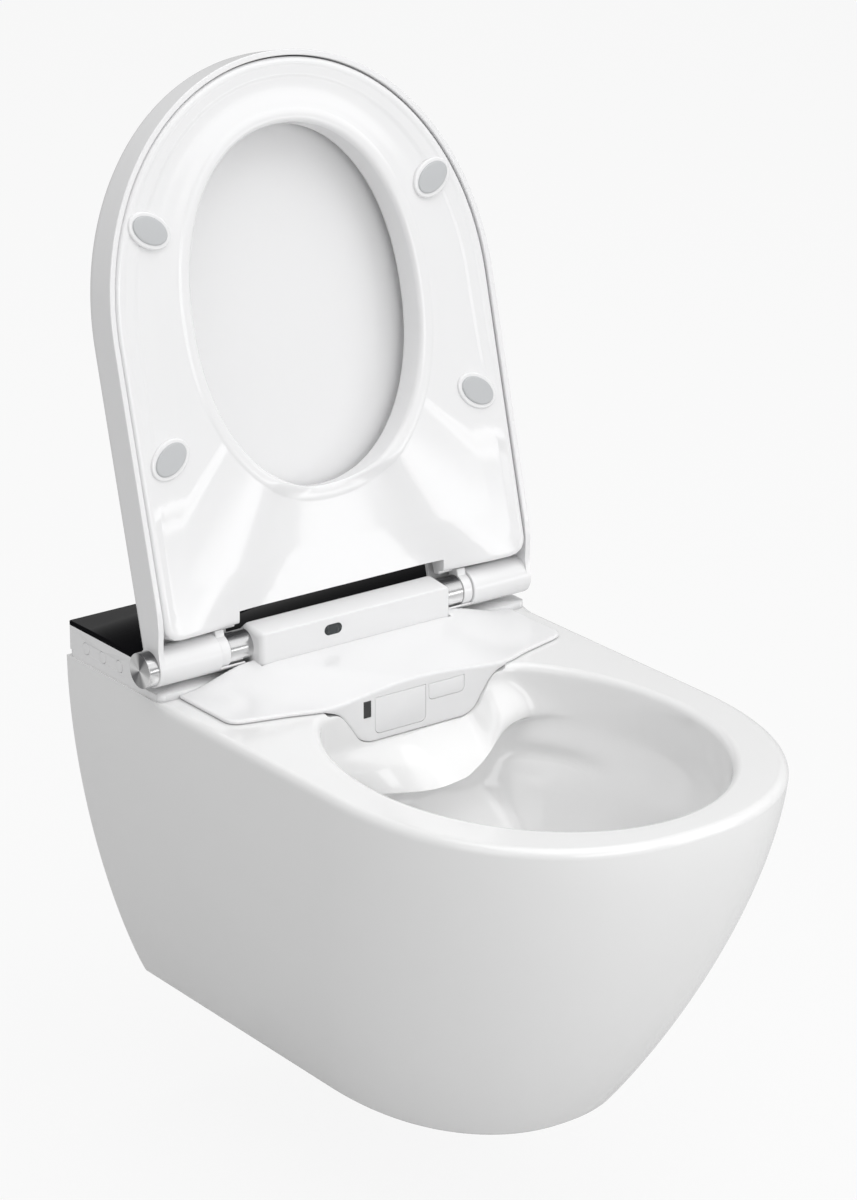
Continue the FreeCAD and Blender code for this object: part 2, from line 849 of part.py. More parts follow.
def cover_plan(inset):
    half = cover_half_width - inset
    nose = console_y + inset
    rear = unit_front_y - 0.4
    side = cover_side_y + inset
    right = [V(half, side, 0), V(half - 3, side - 7, 0), V(half - 12, side - 12, 0),
             V(122, side - 22, 0), V(92, nose + 0.4, 0), V(60, nose, 0)]
    left = [V(-p.x, p.y, 0) for p in reversed(right)]
    edges = [
        Part.makeLine(V(-half, rear, 0), V(half, rear, 0)),
        Part.makeLine(V(half, rear, 0), right[0]),
        spline(right, V(0, -1, 0), V(-1, 0, 0)),
        Part.makeLine(right[-1], left[0]),
        spline(left, V(-1, 0, 0), V(0, 1, 0)),
        Part.makeLine(left[-1], V(-half, rear, 0)),
    ]
    face = Part.Face(Part.Wire(edges))
    face.translate(V(0, 0, deck_z + 0.2))
    return face.extrude(V(0, 0, 40))


def flap_box(x, width, top, height, gap, y0, y1):
    half = width / 2 + gap
    return box(x - half, x + half, y0, y1, deck_z + top - height - gap, deck_z + top + gap)


def front_cover():
    dome = cover_plan(0.0).common(cover_crown(0.0))
    hollow = cover_plan(cover_wall).common(cover_crown(cover_wall))
    face = console_outline(0.0)
    face.translate(V(0, console_y, 0))
    nose = face.extrude(V(0, cover_wall, 0))
    flap_back = console_y + cover_wall + 1
    cover = dome.cut(hollow).fuse(nose)
    under_box = box(
        -box_half_width - 0.5, box_half_width + 0.5, box_front_y - 0.4, unit_front_y + 1,
        deck_z - 5, deck_z + 60)
    openings = (
        (nozzle_flap_x, nozzle_flap_width, nozzle_flap_top, nozzle_flap_height, flap_gap),
        (dryer_flap_x, dryer_flap_width, dryer_flap_top, dryer_flap_height, flap_gap),
        (window_x, window_width, window_top, window_height, 0.0),
    )
    cuts = [under_box] + [flap_box(*row, console_y - 1, flap_back) for row in openings]
    reach = body_width
    for start in (-box_half_width - cover_wall / 2 - reach, box_half_width + cover_wall / 2):
        cuts.append(rod(start, hinge_y, hinge_z, barrel_radius + side_gap, reach, X_AXIS))
    for x, width, top in flap_rows():
        cuts.append(flap_pin(x, width, top))
    return cover.cut(cuts)


def console_window():
    back = console_y + cover_wall
    return flap_box(window_x, window_width, window_top, window_height, 0.0, console_y, back)


# ---------------------------------------------------------------- flaps, pins, wand
def flap_rows():
    return (
        (nozzle_flap_x, nozzle_flap_width, nozzle_flap_top),
        (dryer_flap_x, dryer_flap_width, dryer_flap_top),
    )


def flap_pin_place(top):
    return console_y + flap_bead_radius, deck_z + top - flap_bead_radius


def flap_pin_length(width):
    return width + 2 * (flap_gap + flap_pin_reach)


def flap_pin(x, width, top):
    pin_y, pin_z = flap_pin_place(top)
    length = flap_pin_length(width)
    return rod(x - length / 2, pin_y, pin_z, flap_pin_radius, length, X_AXIS)


def flap(x, width, top, height):
    """A flap that hangs from a pin in its rounded top edge."""
    pin_y, pin_z = flap_pin_place(top)
    half = width / 2
    plate = box(x - half, x + half, console_y, console_y + flap_thickness, deck_z + top - height, pin_z)
    bead = rod(x - width / 2, pin_y, pin_z, flap_bead_radius, width, X_AXIS)
    bore = rod(x - width, pin_y, pin_z, flap_pin_radius + flap_pin_clearance, 2 * width, X_AXIS)
    return plate.fuse(bead).cut(bore)


def flap_pins():
    return Part.makeCompound([flap_pin(*row) for row in flap_rows()])


def wand_tip():
    """The parked wand's tip, behind the nozzle flap."""
    back = wand_park / math.cos(wand_slope)
    return V(nozzle_flap_x, console_y, deck_z + wand_exit_height) - wand_dir * back


def along_wand(distance, side=0.0, rise=0.0):
    up = V(0, -math.sin(wand_slope), math.cos(wand_slope))
    return wand_tip() - wand_dir * distance + X_AXIS * side + up * rise


def wand_block(start, length, side0, side1, rise0, rise1):
    block = Part.makeBox(side1 - side0, length, rise1 - rise0)
    block.translate(V(side0, 0, rise0))
    block.rotate(V(0, 0, 0), X_AXIS, wand_tilt)
    block.translate(along_wand(start))
    return block


def wash_wand():
    length = wand_length - nozzle_length
    bar = Part.makeCylinder(wand_radius, length, along_wand(nozzle_length), wand_dir * -1)
    socket = Part.makeCylinder(wand_radius - 1.5, 8, along_wand(nozzle_length), wand_dir * -1)
    side = wand_radius
    rack = wand_block(nozzle_length + 14, length - 20, side - 1.5, side + 1.6, -1.6, 1.6)
    return bar.fuse(rack).cut(socket)


def nozzle_tip():
    head = Part.makeCylinder(wand_radius, nozzle_length, along_wand(0.0), wand_dir * -1)
    stem = Part.makeCylinder(wand_radius - 1.5, nozzle_length + 8, along_wand(0.0), wand_dir * -1)
    tip = head.fuse(stem)
    round_edge = [e for e in tip.Edges if (e.CenterOfMass - along_wand(0.0)).Length < 0.5 and e.Length > 20]
    tip = tip.makeFillet(2.5, round_edge)
    up = V(0, -math.sin(wand_slope), math.cos(wand_slope))
    jets = [Part.makeCylinder(0.7, 6, along_wand(4 + 3 * i, s), up) for i in range(2) for s in (-1.2, 1.2)]
    return tip.cut(jets)


def wand_guide():
    half = wand_radius + 3.5
    tall = wand_radius + 3.0
    outer = wand_block(4, wand_length - 14, -half, half, -tall, tall)
    bore_radius = wand_radius + wand_running_gap
    bore = Part.makeCylinder(bore_radius, wand_length + 40, along_wand(-20), wand_dir * -1)
    rack_slot = wand_block(-20, wand_length + 40, 0, wand_radius + 2.0, -1.9, 1.9)
    pinion_slot = wand_block(66, 18, wand_radius - 0.5, wand_radius + 12, -7.0, 7.0)
    return outer.cut([bore, rack_slot, pinion_slot])


def pinion_centre():
    return along_wand(75.0, wand_radius + 1.7 + pinion_radius)


def wand_pinion():
    up = V(0, -math.sin(wand_slope), math.cos(wand_slope))
    centre = pinion_centre() - up * (pinion_width / 2)
    wheel = Part.makeCylinder(pinion_radius, pinion_width, centre, up)
    bore = Part.makeCylinder(1.5 + running_gap, pinion_width + 4, centre - up * 2, up)
    teeth = 16
    notches = []
    for i in range(teeth):
        turn = 360.0 * i / teeth
        notch = Part.makeCylinder(0.7, pinion_width, centre + X_AXIS * pinion_radius, up)
        notch.rotate(centre, up, turn)
        notches.append(notch)
    return wheel.cut([bore] + notches)


def wand_motor():
    up = V(0, -math.sin(wand_slope), math.cos(wand_slope))
    centre = pinion_centre() - up * (pinion_width / 2 + 0.5)
    can = Part.makeCylinder(5.0, 11, centre - up * 11, up)
    shaft = Part.makeCylinder(1.5, pinion_width + 1.5, centre, up)
    return can.fuse(shaft)


# ---------------------------------------------------------------- water, air and electrics
def distributor_valve():
    x, y = distributor_x, distributor_y
    low = deck_z - 30
    reach = distributor_radius + 6
    drum = rod(x, y, low, distributor_radius, 26, Z_AXIS)
    ports = [rod(x, y, low + 6 + 9 * i, port_radius, reach, Y_AXIS) for i in range(2)]
    return drum.fuse(ports)


def inlet_valve():
    x0, x1, y0, y1 = inlet_valve_case
    top = deck_z - 2
    body = rounded_plate(x0, x1, y0, y1, top - 16, top, 3)
    coil = rod((x0 + x1) / 2, (y0 + y1) / 2, top, 13, 22, Z_AXIS)
    return body.fuse(coil)


def water_inlet_fitting():
    x, y = -service_hole_x, service_hole_y
    low = deck_z - stem_depth
    nut = rod(x, y, deck_z + 3, 12, 6, Z_AXIS)
    stem = rod(x, y, low, 8.3, stem_depth + 6, Z_AXIS)
    bore = rod(x, y, low - 1, 5, stem_depth - 4, Z_AXIS)
    return stem.fuse(nut).cut(bore)


def power_cable_gland():
    x, y = service_hole_x, service_hole_y
    low = deck_z - stem_depth + 4
    flange = rod(x, y, deck_z + 3, 13, 4, Z_AXIS)
    stem = rod(x, y, low, 9, stem_depth, Z_AXIS)
    bore = rod(x, y, low - 1, 4, stem_depth + 6, Z_AXIS)
    return stem.fuse(flange).cut(bore)


def water_heater():
    x0, x1, y0, y1 = heater_case
    case = rounded_plate(x0, x1, y0, y1, deck_z - 17, deck_z + 18, 5)
    pipes = [rod(x0 - 4, y0 + 10 + 20 * i, deck_z - 4 + 12 * i, 4, 6, X_AXIS) for i in range(2)]
    return case.fuse(pipes)


def dryer_blower_housing():
    x, y = blower_x, blower_y
    low, high = deck_z + blower_low, deck_z + blower_high
    front = y - blower_radius
    wall = blower_wall
    scroll = rod(x, y, low, blower_radius, high - low, Z_AXIS)
    throat_x = dryer_flap_x + dryer_flap_width / 2 - 1.7
    throat = box(throat_x, x, front, front + 20, high - 8, high)
    outer = scroll.fuse(throat)
    chamber = rod(x, y, low + wall, blower_radius - wall, high - low - 2 * wall, Z_AXIS)
    throat_space = box(throat_x - 1, x, front + wall, front + 18, high - 6.5, high - wall)
    eye = rod(x, y, high - wall - 1, eye_radius, wall + 2, Z_AXIS)
    shaft = rod(x, y, low - 1, 2 * motor_shaft_radius, wall + 3, Z_AXIS)
    return outer.cut([chamber, throat_space, eye, shaft])


def dryer_motor():
    x, y = blower_x, blower_y
    low = deck_z + blower_low
    can = rod(x, y, low + 2.5, motor_can_radius, 12, Z_AXIS)
    shaft = rod(x, y, low + 14, motor_shaft_radius, 12, Z_AXIS)
    stub = rod(x, y, low, 2 * motor_shaft_radius, 4, Z_AXIS)
    return can.fuse([shaft, stub])


def dryer_impeller():
    x, y, z = blower_x, blower_y, deck_z + blower_low + 16
    hub = rod(x, y, z, impeller_radius, 1.5, Z_AXIS)
    collar = rod(x, y, z, 4, impeller_height, Z_AXIS)
    blades = []
    for i in range(impeller_blades):
        outer = x + impeller_radius
        blade = box(outer - 9, outer, y - 0.6, y + 0.6, z, z + impeller_height)
        blade.rotate(V(x, y, z), Z_AXIS, 360.0 / impeller_blades * i)
        blades.append(blade)
    bore = rod(x, y, z - 1, motor_shaft_radius + running_gap, impeller_height + 5, Z_AXIS)
    return hub.fuse(blades + [collar]).cut(bore)


def dryer_duct():
    left = dryer_flap_x - dryer_flap_width / 2 + 2
    right = dryer_flap_x + dryer_flap_width / 2 - 2
    low = deck_z + dryer_flap_top - dryer_flap_height
    high = low + 11
    wall = duct_wall
    front = pocket_front_y + 8
    rear = blower_y - 12
    outer = box(left, right, front, rear, low, high)
    inner = box(left + wall, right - wall, front - 1, rear - wall, low + wall, high - wall)
    side = box(right - 2, right + 1, rear - 17, rear - 2.5, low + 1.5, high - 1.5)
    return outer.cut([inner, side])


def dryer_heater():
    left = dryer_flap_x - dryer_flap_width / 2 + 2 + duct_wall
    low = deck_z + dryer_flap_top - dryer_flap_height + duct_wall
    front = pocket_front_y + 16
    starts = [left + 3 * i for i in range(heater_fins)]
    fins = [box(x, x + 1, front, front + 16, low, low + 8.6) for x in starts]
    bar = box(left, starts[-1] + 1, front + 7, front + 9, low + 3, low + 5)
    return bar.fuse(fins)


def odour_filter():
    return rounded_plate(*filter_case, deck_z - 34, deck_z - 8, 2)


def odour_fan_frame():
    x, z = fan_x, deck_z + fan_height
    front = fan_rear_y - fan_depth
    half = 17
    frame = box(x - half, x + half, front, fan_rear_y, z - 15, z + 15)
    bore = rod(x, front - 0.5, z, fan_bore_radius, fan_depth + 1, Y_AXIS)
    spider = box(x - half, x + half, fan_rear_y - 1.5, fan_rear_y, z - 1.5, z + 1.5)
    post = rod(x, front + 4, z, motor_shaft_radius, fan_depth - 4, Y_AXIS)
    return frame.cut(bore).fuse([spider, post])


def odour_fan_impeller():
    x, z = fan_x, deck_z + fan_height
    front = fan_rear_y - fan_depth + 2
    middle = front + 3.5
    hub = rod(x, front, z, 5, 7, Y_AXIS)
    blades = []
    for i in range(fan_blades):
        blade = box(x + 3, x + fan_bore_radius - 1, middle - 2.5, middle + 2.5, z - 0.5, z + 0.5)
        blade.rotate(V(x + 8, middle, z), X_AXIS, 32)
        blade.rotate(V(x, middle, z), Y_AXIS, 360.0 / fan_blades * i)
        blades.append(blade)
    bore = rod(x, front - 1, z, motor_shaft_radius + running_gap, 9, Y_AXIS)
    return hub.fuse(blades).cut(bore)


def control_board():
    x0, x1, y0, y1 = board_area
    low = deck_z + 9
    face = low + 1.6
    board = box(x0, x1, y0, y1, low, face)
    chips = (
        # x, y, width, depth, height
        (130, -96, 12, 12, 2),
        (148, -98, 14, 10, 9),
        (146, -86, 16, 8, 4),
        (166, -94, 6, 14, 6),
    )
    added = [box(x, x + w, y, y + d, face, face + h) for x, y, w, d, h in chips]
    for x in (x0 + 4, x1 - 4):
        for y in (y0 + 4, y1 - 4):
            added.append(rod(x, y, tray_top, 2.5, low - tray_top, Z_AXIS))
    return board.fuse(added)


def power_supply():
    block = rounded_plate(*supply_case, tray_top, deck_z + 25, 3)
    room = rod(-fixing_hole_x, fixing_hole_y, 0, bolt_head_radius + 1.5, 2 * deck_z, Z_AXIS)
    return block.cut(room)


def button_board():
    x = -unit_half_width + plastic_wall + 2.8
    board = box(x, x + 1.6, button_places()[-1] - 9, button_places()[0] + 9, tray_top + 0.3, deck_z + 23)
    z = deck_z + button_height
    switches = [box(x - 0.9, x, y - 2, y + 2, z - 2, z + 2) for y in button_places()]
    return board.fuse(switches)


def side_button(y):
    x = -unit_half_width - 0.3
    cap = rod(x, y, deck_z + button_height, button_radius, button_length, X_AXIS)
    rim = [e for e in cap.Edges if abs(e.CenterOfMass.x - x) < 0.01 and e.Length > 20]
    return cap.makeFillet(0.4, rim)


def fixing_plugs():
    def one():
        length = deck_wall + 8
        low = deck_z - length
        return tube(fixing_hole_x, fixing_hole_y, low, fixing_hole_radius, bolt_radius, length, Z_AXIS)
    return both_sides(one)


def fixing_bolts():
    def one():
        low = deck_z - deck_wall - 14
        shank = rod(fixing_hole_x, fixing_hole_y, low, bolt_radius, tray_top - low, Z_AXIS)
        head = rod(fixing_hole_x, fixing_hole_y, tray_top, bolt_head_radius, bolt_head_height, Z_AXIS)
        return shank.fuse(head)
    right = one()
    socket = rod(fixing_hole_x, fixing_hole_y, tray_top + 1.5, 2.5, 3, Z_AXIS)
    right = right.cut(socket)
    return Part.makeCompound([right, right.mirror(V(0, 0, 0), X_AXIS)])


# ---------------------------------------------------------------- hinge line
def hinge_axle(side):
    start = box_half_width - axle_overlap
    end = lid_half_width - plug_depth - 0.3 if side > 0 else lid_half_width + 2.0
    bar = rod(start, hinge_y, hinge_z, axle_radius, end - start, X_AXIS)
    return bar if side > 0 else bar.mirror(V(0, 0, 0), X_AXIS)


def hinge_sleeve(side):
    start = box_half_width
    end = knuckle_inner_x - side_gap
    shell = tube(start, hinge_y, hinge_z, sleeve_radius, sleeve_radius - 2.2, end - start, X_AXIS)
    web = tube(start, hinge_y, hinge_z, sleeve_radius - 1, axle_radius, 3, X_AXIS)
    ring = shell.fuse(web)
    return ring if side > 0 else ring.mirror(V(0, 0, 0), X_AXIS)


def seat_dampers():
    def one():
        start = box_half_width - axle_overlap + 4
        return tube(start, hinge_y, hinge_z, seat_damper_radius, axle_radius, box_inner - start, X_AXIS)
    return both_sides(one)


def left_cap():
    """The round cap that stands out of the lid's left side."""
    cap = rod(-cap_face_x, hinge_y, hinge_z, cap_radius, cap_length, X_AXIS)
    rim = [e for e in cap.Edges if abs(e.CenterOfMass.x + cap_face_x) < 0.01 and e.Length > cap_radius]
    cap = cap.makeFillet(0.6, rim)
    hollow = rod(2 - cap_face_x, hinge_y, hinge_z, cap_radius - 5, cap_length, X_AXIS)
    return opened(cap.cut(hollow))


def right_cap():
    """The flat plug that closes the right end flush."""
    start = lid_half_width - plug_depth
    return opened(rod(start, hinge_y, hinge_z, plug_radius, plug_depth - 0.2, X_AXIS))


def lid_dampers():
    def one():
        start = barrel_inner_x + 2
        bore = axle_radius + running_gap
        return tube(start, hinge_y, hinge_z, barrel_bore, bore, damper_length, X_AXIS)
    return opened(both_sides(one))


# ---------------------------------------------------------------- lid, modelled closed
def lid_body(inset, top, radius, bottom, rear=0.0):
    """A slab with straight sides, an elliptic front and a rounded top edge."""
    half = lid_half_width - inset
    middle = V(0, hinge_y - curve_start, hinge_z + bottom)
    tip = V(0, hinge_y - lid_front + inset, middle.z)
    left = V(-half, middle.y, middle.z)
    right = V(half, middle.y, middle.z)
    rear_y = hinge_y + rear
    front = Part.Arc(left, tip, right).toShape()
    if abs((middle - tip).Length - half) > 0.01:
        ellipse = Part.Ellipse(tip, right, middle)
        front = Part.ArcOfEllipse(ellipse, -math.pi / 2, math.pi / 2).toShape()
    edges = [
        front,
        Part.makeLine(right, V(half, rear_y, middle.z)),
        Part.makeLine(V(half, rear_y, middle.z), V(-half, rear_y, middle.z)),
        Part.makeLine(V(-half, rear_y, middle.z), left),
    ]
    outline = Part.Wire(Part.__sortEdges__(edges))
    slab = Part.Face(outline).extrude(V(0, 0, top - bottom))
    upper = hinge_z + top - 0.01
    rim = [e for e in slab.Edges if e.BoundBox.ZMin > upper and e.BoundBox.YMin < rear_y - 1]
    return slab.makeFillet(radius, rim)


def lid_shell():
    outer = lid_body(0.0, barrel_radius, lid_round, -lid_rim_drop)
    inner = lid_body(lid_wall, barrel_radius - lid_top_wall, lid_round - 4, -lid_rim_drop - 5, 1.0)
    wide = lid_half_width + 10
    under = hinge_z - 40
    low = hinge_z - barrel_radius
    taper = prism_x([
        (hinge_y + 1, under),
        (hinge_y + 1, low),
        (hinge_y, low),
        (hinge_y - 14, low - 1),
        (hinge_y - 48, hinge_z - lid_rim_drop - 0.01),
        (hinge_y - 48, under),
    ], -wide, wide)
    shell = outer.cut([inner, taper])
    barrels = []
    length = lid_half_width - barrel_inner_x - step_in
    for side in (-1, 1):
        start = barrel_inner_x if side > 0 else -barrel_inner_x - length
        barrels.append(rod(start, hinge_y, hinge_z, barrel_radius - step_in, length, X_AXIS))
        band_start = neck_inner_x if side > 0 else -barrel_inner_x
        band_length = barrel_inner_x - neck_inner_x
        inner_radius = barrel_radius - band_wall
        band = tube(band_start, hinge_y, hinge_z, barrel_radius, inner_radius, band_length, X_AXIS)
        slope = math.radians(band_under_angle)
        far = 40.0
        keep = prism_x([
            (hinge_y, hinge_z),
            (hinge_y + far * math.cos(slope), hinge_z - far * math.sin(slope)),
            (hinge_y + far, hinge_z + far),
            (hinge_y, hinge_z + far),
        ], band_start, band_start + band_length)
        barrels.append(band.common(keep))
    shell = shell.fuse(barrels)
    rear = hinge_y - lid_cut_back
    cuts = [box(-neck_inner_x, neck_inner_x, rear, hinge_y + 40, hinge_z - 40, hinge_z + 40)]
    plug_start = lid_half_width - plug_depth
    cuts.append(rod(plug_start, hinge_y, hinge_z, plug_radius, plug_depth + 1, X_AXIS))
    ring_length = barrel_inner_x - neck_inner_x
    bore_length = lid_half_width - 5 - barrel_inner_x
    for side in (-1, 1):
        knuckle_start = neck_inner_x if side > 0 else -barrel_inner_x
        cuts.append(rod(knuckle_start, hinge_y, hinge_z, barrel_radius - band_wall, ring_length, X_AXIS))
        bore_start = barrel_inner_x - 1 if side > 0 else -lid_half_width + 6
        cuts.append(rod(bore_start, hinge_y, hinge_z, barrel_bore, bore_length, X_AXIS))
        end_start = lid_half_width - 8 if side > 0 else -lid_half_width - 2
        cuts.append(rod(end_start, hinge_y, hinge_z, axle_radius + running_gap, 10, X_AXIS))
    return opened(shell.cut(cuts))


def lid_bumpers():
    pads = []
    low = hinge_z + seat_rise + bumper_clearance
    height = hinge_z + barrel_radius - lid_top_wall - low
    for x, reach in lid_bumper_places:
        for side in (-1, 1):
            pads.append(rod(side * x, hinge_y - reach, low, lid_bumper_radius, height, Z_AXIS))
    return opened(Part.makeCompound(pads))


# ---------------------------------------------------------------- seat, modelled closed
def seat_wire(height, inset, rear_extra=0.0):
    return d_wire(
        seat_half_width - inset, hinge_y - seat_rear - inset - rear_extra, hinge_y - curve_start,
        hinge_y - seat_front + inset, hinge_z + height, 2.0, seat_corner)


def opening_wire(height, grow):
    middle = hinge_y - (seat_opening_rear + seat_opening_front) / 2
    reach = (seat_opening_front - seat_opening_rear) / 2 + grow
    half = seat_opening_half_width + grow
    return egg_wire(half, middle, middle - reach, middle + reach, hinge_z + height)


def seat_rear_cut(gap=0.0):
    """Room for the centre housing, the sleeves and the knuckles behind the seat."""
    front = hinge_y - seat_centre_rear - gap
    return box(-neck_inner_x - gap, neck_inner_x + gap, front, hinge_y + 40, hinge_z - 40, hinge_z + 40)


def seat_top_shell():
    low = -seat_split
    outer = loft([seat_wire(low, 0.0), seat_wire(seat_rise - seat_round, 0.0)], True)
    rounded = loft([seat_wire(seat_rise - drop, inset) for drop, inset in round_insets(seat_round)])
    hole = loft([opening_wire(low - 1, 0.0), opening_wire(seat_rise - hole_round, 0.0)], True)
    hole_top = loft([opening_wire(seat_rise - drop, inset) for drop, inset in round_insets(hole_round)])
    solid = outer.fuse(rounded).cut([hole, hole_top, seat_rear_cut()])
    space = loft([seat_wire(low - 1, seat_wall), seat_wire(seat_rise - seat_wall, seat_wall + 2)], True)
    island = loft([opening_wire(low - 2, seat_wall), opening_wire(seat_rise, seat_wall + 4)], True)
    space = space.cut([island, seat_rear_cut(seat_wall)])
    solid = solid.cut(space)
    necks = []
    top = hinge_z + seat_rise - 0.5
    ring_end = barrel_inner_x - side_gap
    for side in (-1, 1):
        left, right = sorted((side * neck_inner_x, side * ring_end))
        necks.append(box(
            left, right, hinge_y - seat_centre_rear - 3, hinge_y - neck_rear, hinge_z - seat_split, top))
        left, right = sorted((side * knuckle_inner_x, side * ring_end))
        necks.append(rod(left, hinge_y, hinge_z, knuckle_radius, right - left, X_AXIS))
        necks.append(box(left, right, hinge_y - neck_rear - 1.5, hinge_y, hinge_z - 8.0, top))
    solid = solid.fuse(necks)
    bore = rod(-lid_half_width, hinge_y, hinge_z, axle_radius + running_gap, 2 * lid_half_width, X_AXIS)
    return opened(solid.cut(bore))


def under_recess(grow, half):
    """The hollow under the rear of the seat that clears the cover and the unit."""
    high = hinge_z - recess_depth + grow
    rear = hinge_y - seat_rear + 5 + grow
    under = hinge_z - 40
    return prism_x([
        (hinge_y - recess_reach, high),
        (rear, high),
        (rear, under),
        (hinge_y - recess_reach - 72 - grow, under),
        (hinge_y - recess_reach - 64 - grow, hinge_z - seat_drop + grow),
        (hinge_y - recess_reach - 52 - grow, hinge_z - recess_mid_depth + grow),
    ], -half, half)


def seat_bottom_shell():
    top = -seat_split
    base = -seat_drop
    upper = loft([seat_wire(base + seat_edge, 0.0), seat_wire(top, 0.0)], True)
    foot = loft([seat_wire(base + drop, inset) for drop, inset in round_insets(seat_edge, 3)])
    hole_upper = loft([opening_wire(base + 10, 0.0), opening_wire(top + 1, 0.0)], True)
    hole_foot = loft([opening_wire(base + 2 + drop, inset) for drop, inset in round_insets(8.0, 3)])
    hole_end = loft([opening_wire(base - 1, 8.0), opening_wire(base + 2, 8.0)], True)
    solid = upper.fuse(foot).cut([hole_upper, hole_foot, hole_end, seat_rear_cut()])
    half = seat_half_width - recess_side
    recess = under_recess(0.0, half)
    space = loft([seat_wire(base + seat_wall + 2, seat_wall + 1), seat_wire(top + 1, seat_wall)], True)
    island = loft([opening_wire(base, seat_wall + 7), opening_wire(top + 2, seat_wall)], True)
    floor_over_recess = under_recess(seat_wall, half + seat_wall)
    space = space.cut([island, floor_over_recess, seat_rear_cut(seat_wall)])
    return opened(solid.cut([recess, space]))


def seat_heating_foil():
    """A thin heating mat stuck under the seat's top face."""
    z = seat_rise - seat_wall - 0.5
    mat = loft([seat_wire(z, 16.0, 34.0), seat_wire(z + 0.5, 16.0, 34.0)], True)
    hole = loft([opening_wire(z - 1, 14.0), opening_wire(z + 2, 14.0)], True)
    return opened(mat.cut(hole))


def oval_pad(x, reach, length, width, z0, z1):
    """An oval pad whose long axis points at the middle of the seat opening."""
    middle = (seat_opening_rear + seat_opening_front) / 2
    turn = math.degrees(math.atan2(-(reach - middle), x))
    ellipse = Part.Ellipse(V(0, 0, 0), length / 2, width / 2)
    pad = Part.Face(Part.Wire([ellipse.toShape()])).extrude(V(0, 0, z1 - z0))
    pad.rotate(V(0, 0, 0), Z_AXIS, turn)
    pad.translate(V(x, hinge_y - reach, z0))
    return pad


def bumper_places():
    return [(side * x, reach) for x, reach in (bumper_front, bumper_rear) for side in (-1, 1)]


def seat_bumpers():
    low = deck_z + bumper_clearance
    high = seat_floor_z
    pads = []
    for x, reach in bumper_places():
        pad = oval_pad(x, reach, bumper_length, bumper_width, low, high)
        under = [e for e in pad.Edges if abs(e.CenterOfMass.z - low) < 0.01]
        pads.append(pad.makeFillet(1.4, under))
    return opened(Part.makeCompound(pads))


# ---------------------------------------------------------------- write every piece
def main():
    os.makedirs("parts", exist_ok=True)
    for name, piece in ceramic_pieces().items():
        save(name, piece)
    save("flush_inlet_seal", flush_inlet_seal())
    save("wall_fixing_sleeves", wall_fixing_sleeves())
    save("wall_fixing_nuts", wall_fixing_nuts())
    save("base_tray", base_tray())
    save("housing_shell", housing_shell())
    save("glass_panel", glass_panel())
    save("centre_housing", centre_housing())
    save("receiver_lens", lens_shape(0.0))
    save("front_cover", front_cover())
    save("console_window", console_window())
    save("nozzle_flap", flap(nozzle_flap_x, nozzle_flap_width, nozzle_flap_top, nozzle_flap_height))
    save("dryer_flap", flap(dryer_flap_x, dryer_flap_width, dryer_flap_top, dryer_flap_height))
    save("flap_pins", flap_pins())
    save("wash_wand", wash_wand())
    save("nozzle_tip", nozzle_tip())
    save("wand_guide", wand_guide())
    save("wand_pinion", wand_pinion())
    save("wand_motor", wand_motor())
    save("distributor_valve", distributor_valve())
    save("inlet_valve", inlet_valve())
    save("water_inlet_fitting", water_inlet_fitting())
    save("power_cable_gland", power_cable_gland())
    save("water_heater", water_heater())
    save("dryer_blower_housing", dryer_blower_housing())
    save("dryer_motor", dryer_motor())
    save("dryer_impeller", dryer_impeller())
    save("dryer_duct", dryer_duct())
    save("dryer_heater", dryer_heater())
    save("odour_filter", odour_filter())
    save("odour_fan_frame", odour_fan_frame())
    save("odour_fan_impeller", odour_fan_impeller())
    save("control_board", control_board())
    save("power_supply", power_supply())
    save("button_board", button_board())
    for name, y in zip(("power_button", "wash_button", "dry_button"), button_places()):
        save(name, side_button(y))
    save("fixing_plugs", fixing_plugs())
    save("fixing_bolts", fixing_bolts())
    save("left_hinge_axle", hinge_axle(-1))
    save("right_hinge_axle", hinge_axle(1))
    save("left_hinge_sleeve", hinge_sleeve(-1))
    save("right_hinge_sleeve", hinge_sleeve(1))
    save("left_hinge_cap", left_cap())
    save("right_hinge_cap", right_cap())
    save("seat_dampers", seat_dampers())
    save("lid_dampers", lid_dampers())
    save("lid_shell", lid_shell())
    save("lid_bumpers", lid_bumpers())
    save("seat_top_shell", seat_top_shell())
    save("seat_bottom_shell", seat_bottom_shell())
    save("seat_heating_foil", seat_heating_foil())
    save("seat_bumpers", seat_bumpers())


main()
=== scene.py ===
import math

import bmesh
import bpy
from mathutils import Matrix, Vector


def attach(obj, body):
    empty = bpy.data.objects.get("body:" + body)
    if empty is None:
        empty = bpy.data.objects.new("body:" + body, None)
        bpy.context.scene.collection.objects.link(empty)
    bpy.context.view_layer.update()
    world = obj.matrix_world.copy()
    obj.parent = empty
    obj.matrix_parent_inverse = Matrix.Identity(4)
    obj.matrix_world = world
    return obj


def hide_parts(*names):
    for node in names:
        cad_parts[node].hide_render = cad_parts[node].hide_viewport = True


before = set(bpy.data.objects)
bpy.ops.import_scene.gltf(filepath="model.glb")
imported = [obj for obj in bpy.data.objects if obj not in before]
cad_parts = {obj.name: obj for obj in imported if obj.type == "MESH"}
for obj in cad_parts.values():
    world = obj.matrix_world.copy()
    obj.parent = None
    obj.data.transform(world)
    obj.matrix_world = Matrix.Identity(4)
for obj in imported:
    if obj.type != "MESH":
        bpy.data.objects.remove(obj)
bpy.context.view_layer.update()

# sizes are in millimetres here and become metres through MM
MM = 0.001
DECK = 100.0                # top of the ceramic body above the wall studs
HINGE_Y = -129.0
HINGE_Z = DECK + 28.0
OPEN_ANGLE = 104.2          # degrees between the closed and the open lid
BODY_POWER = 2.244          # how full the round front of the body is
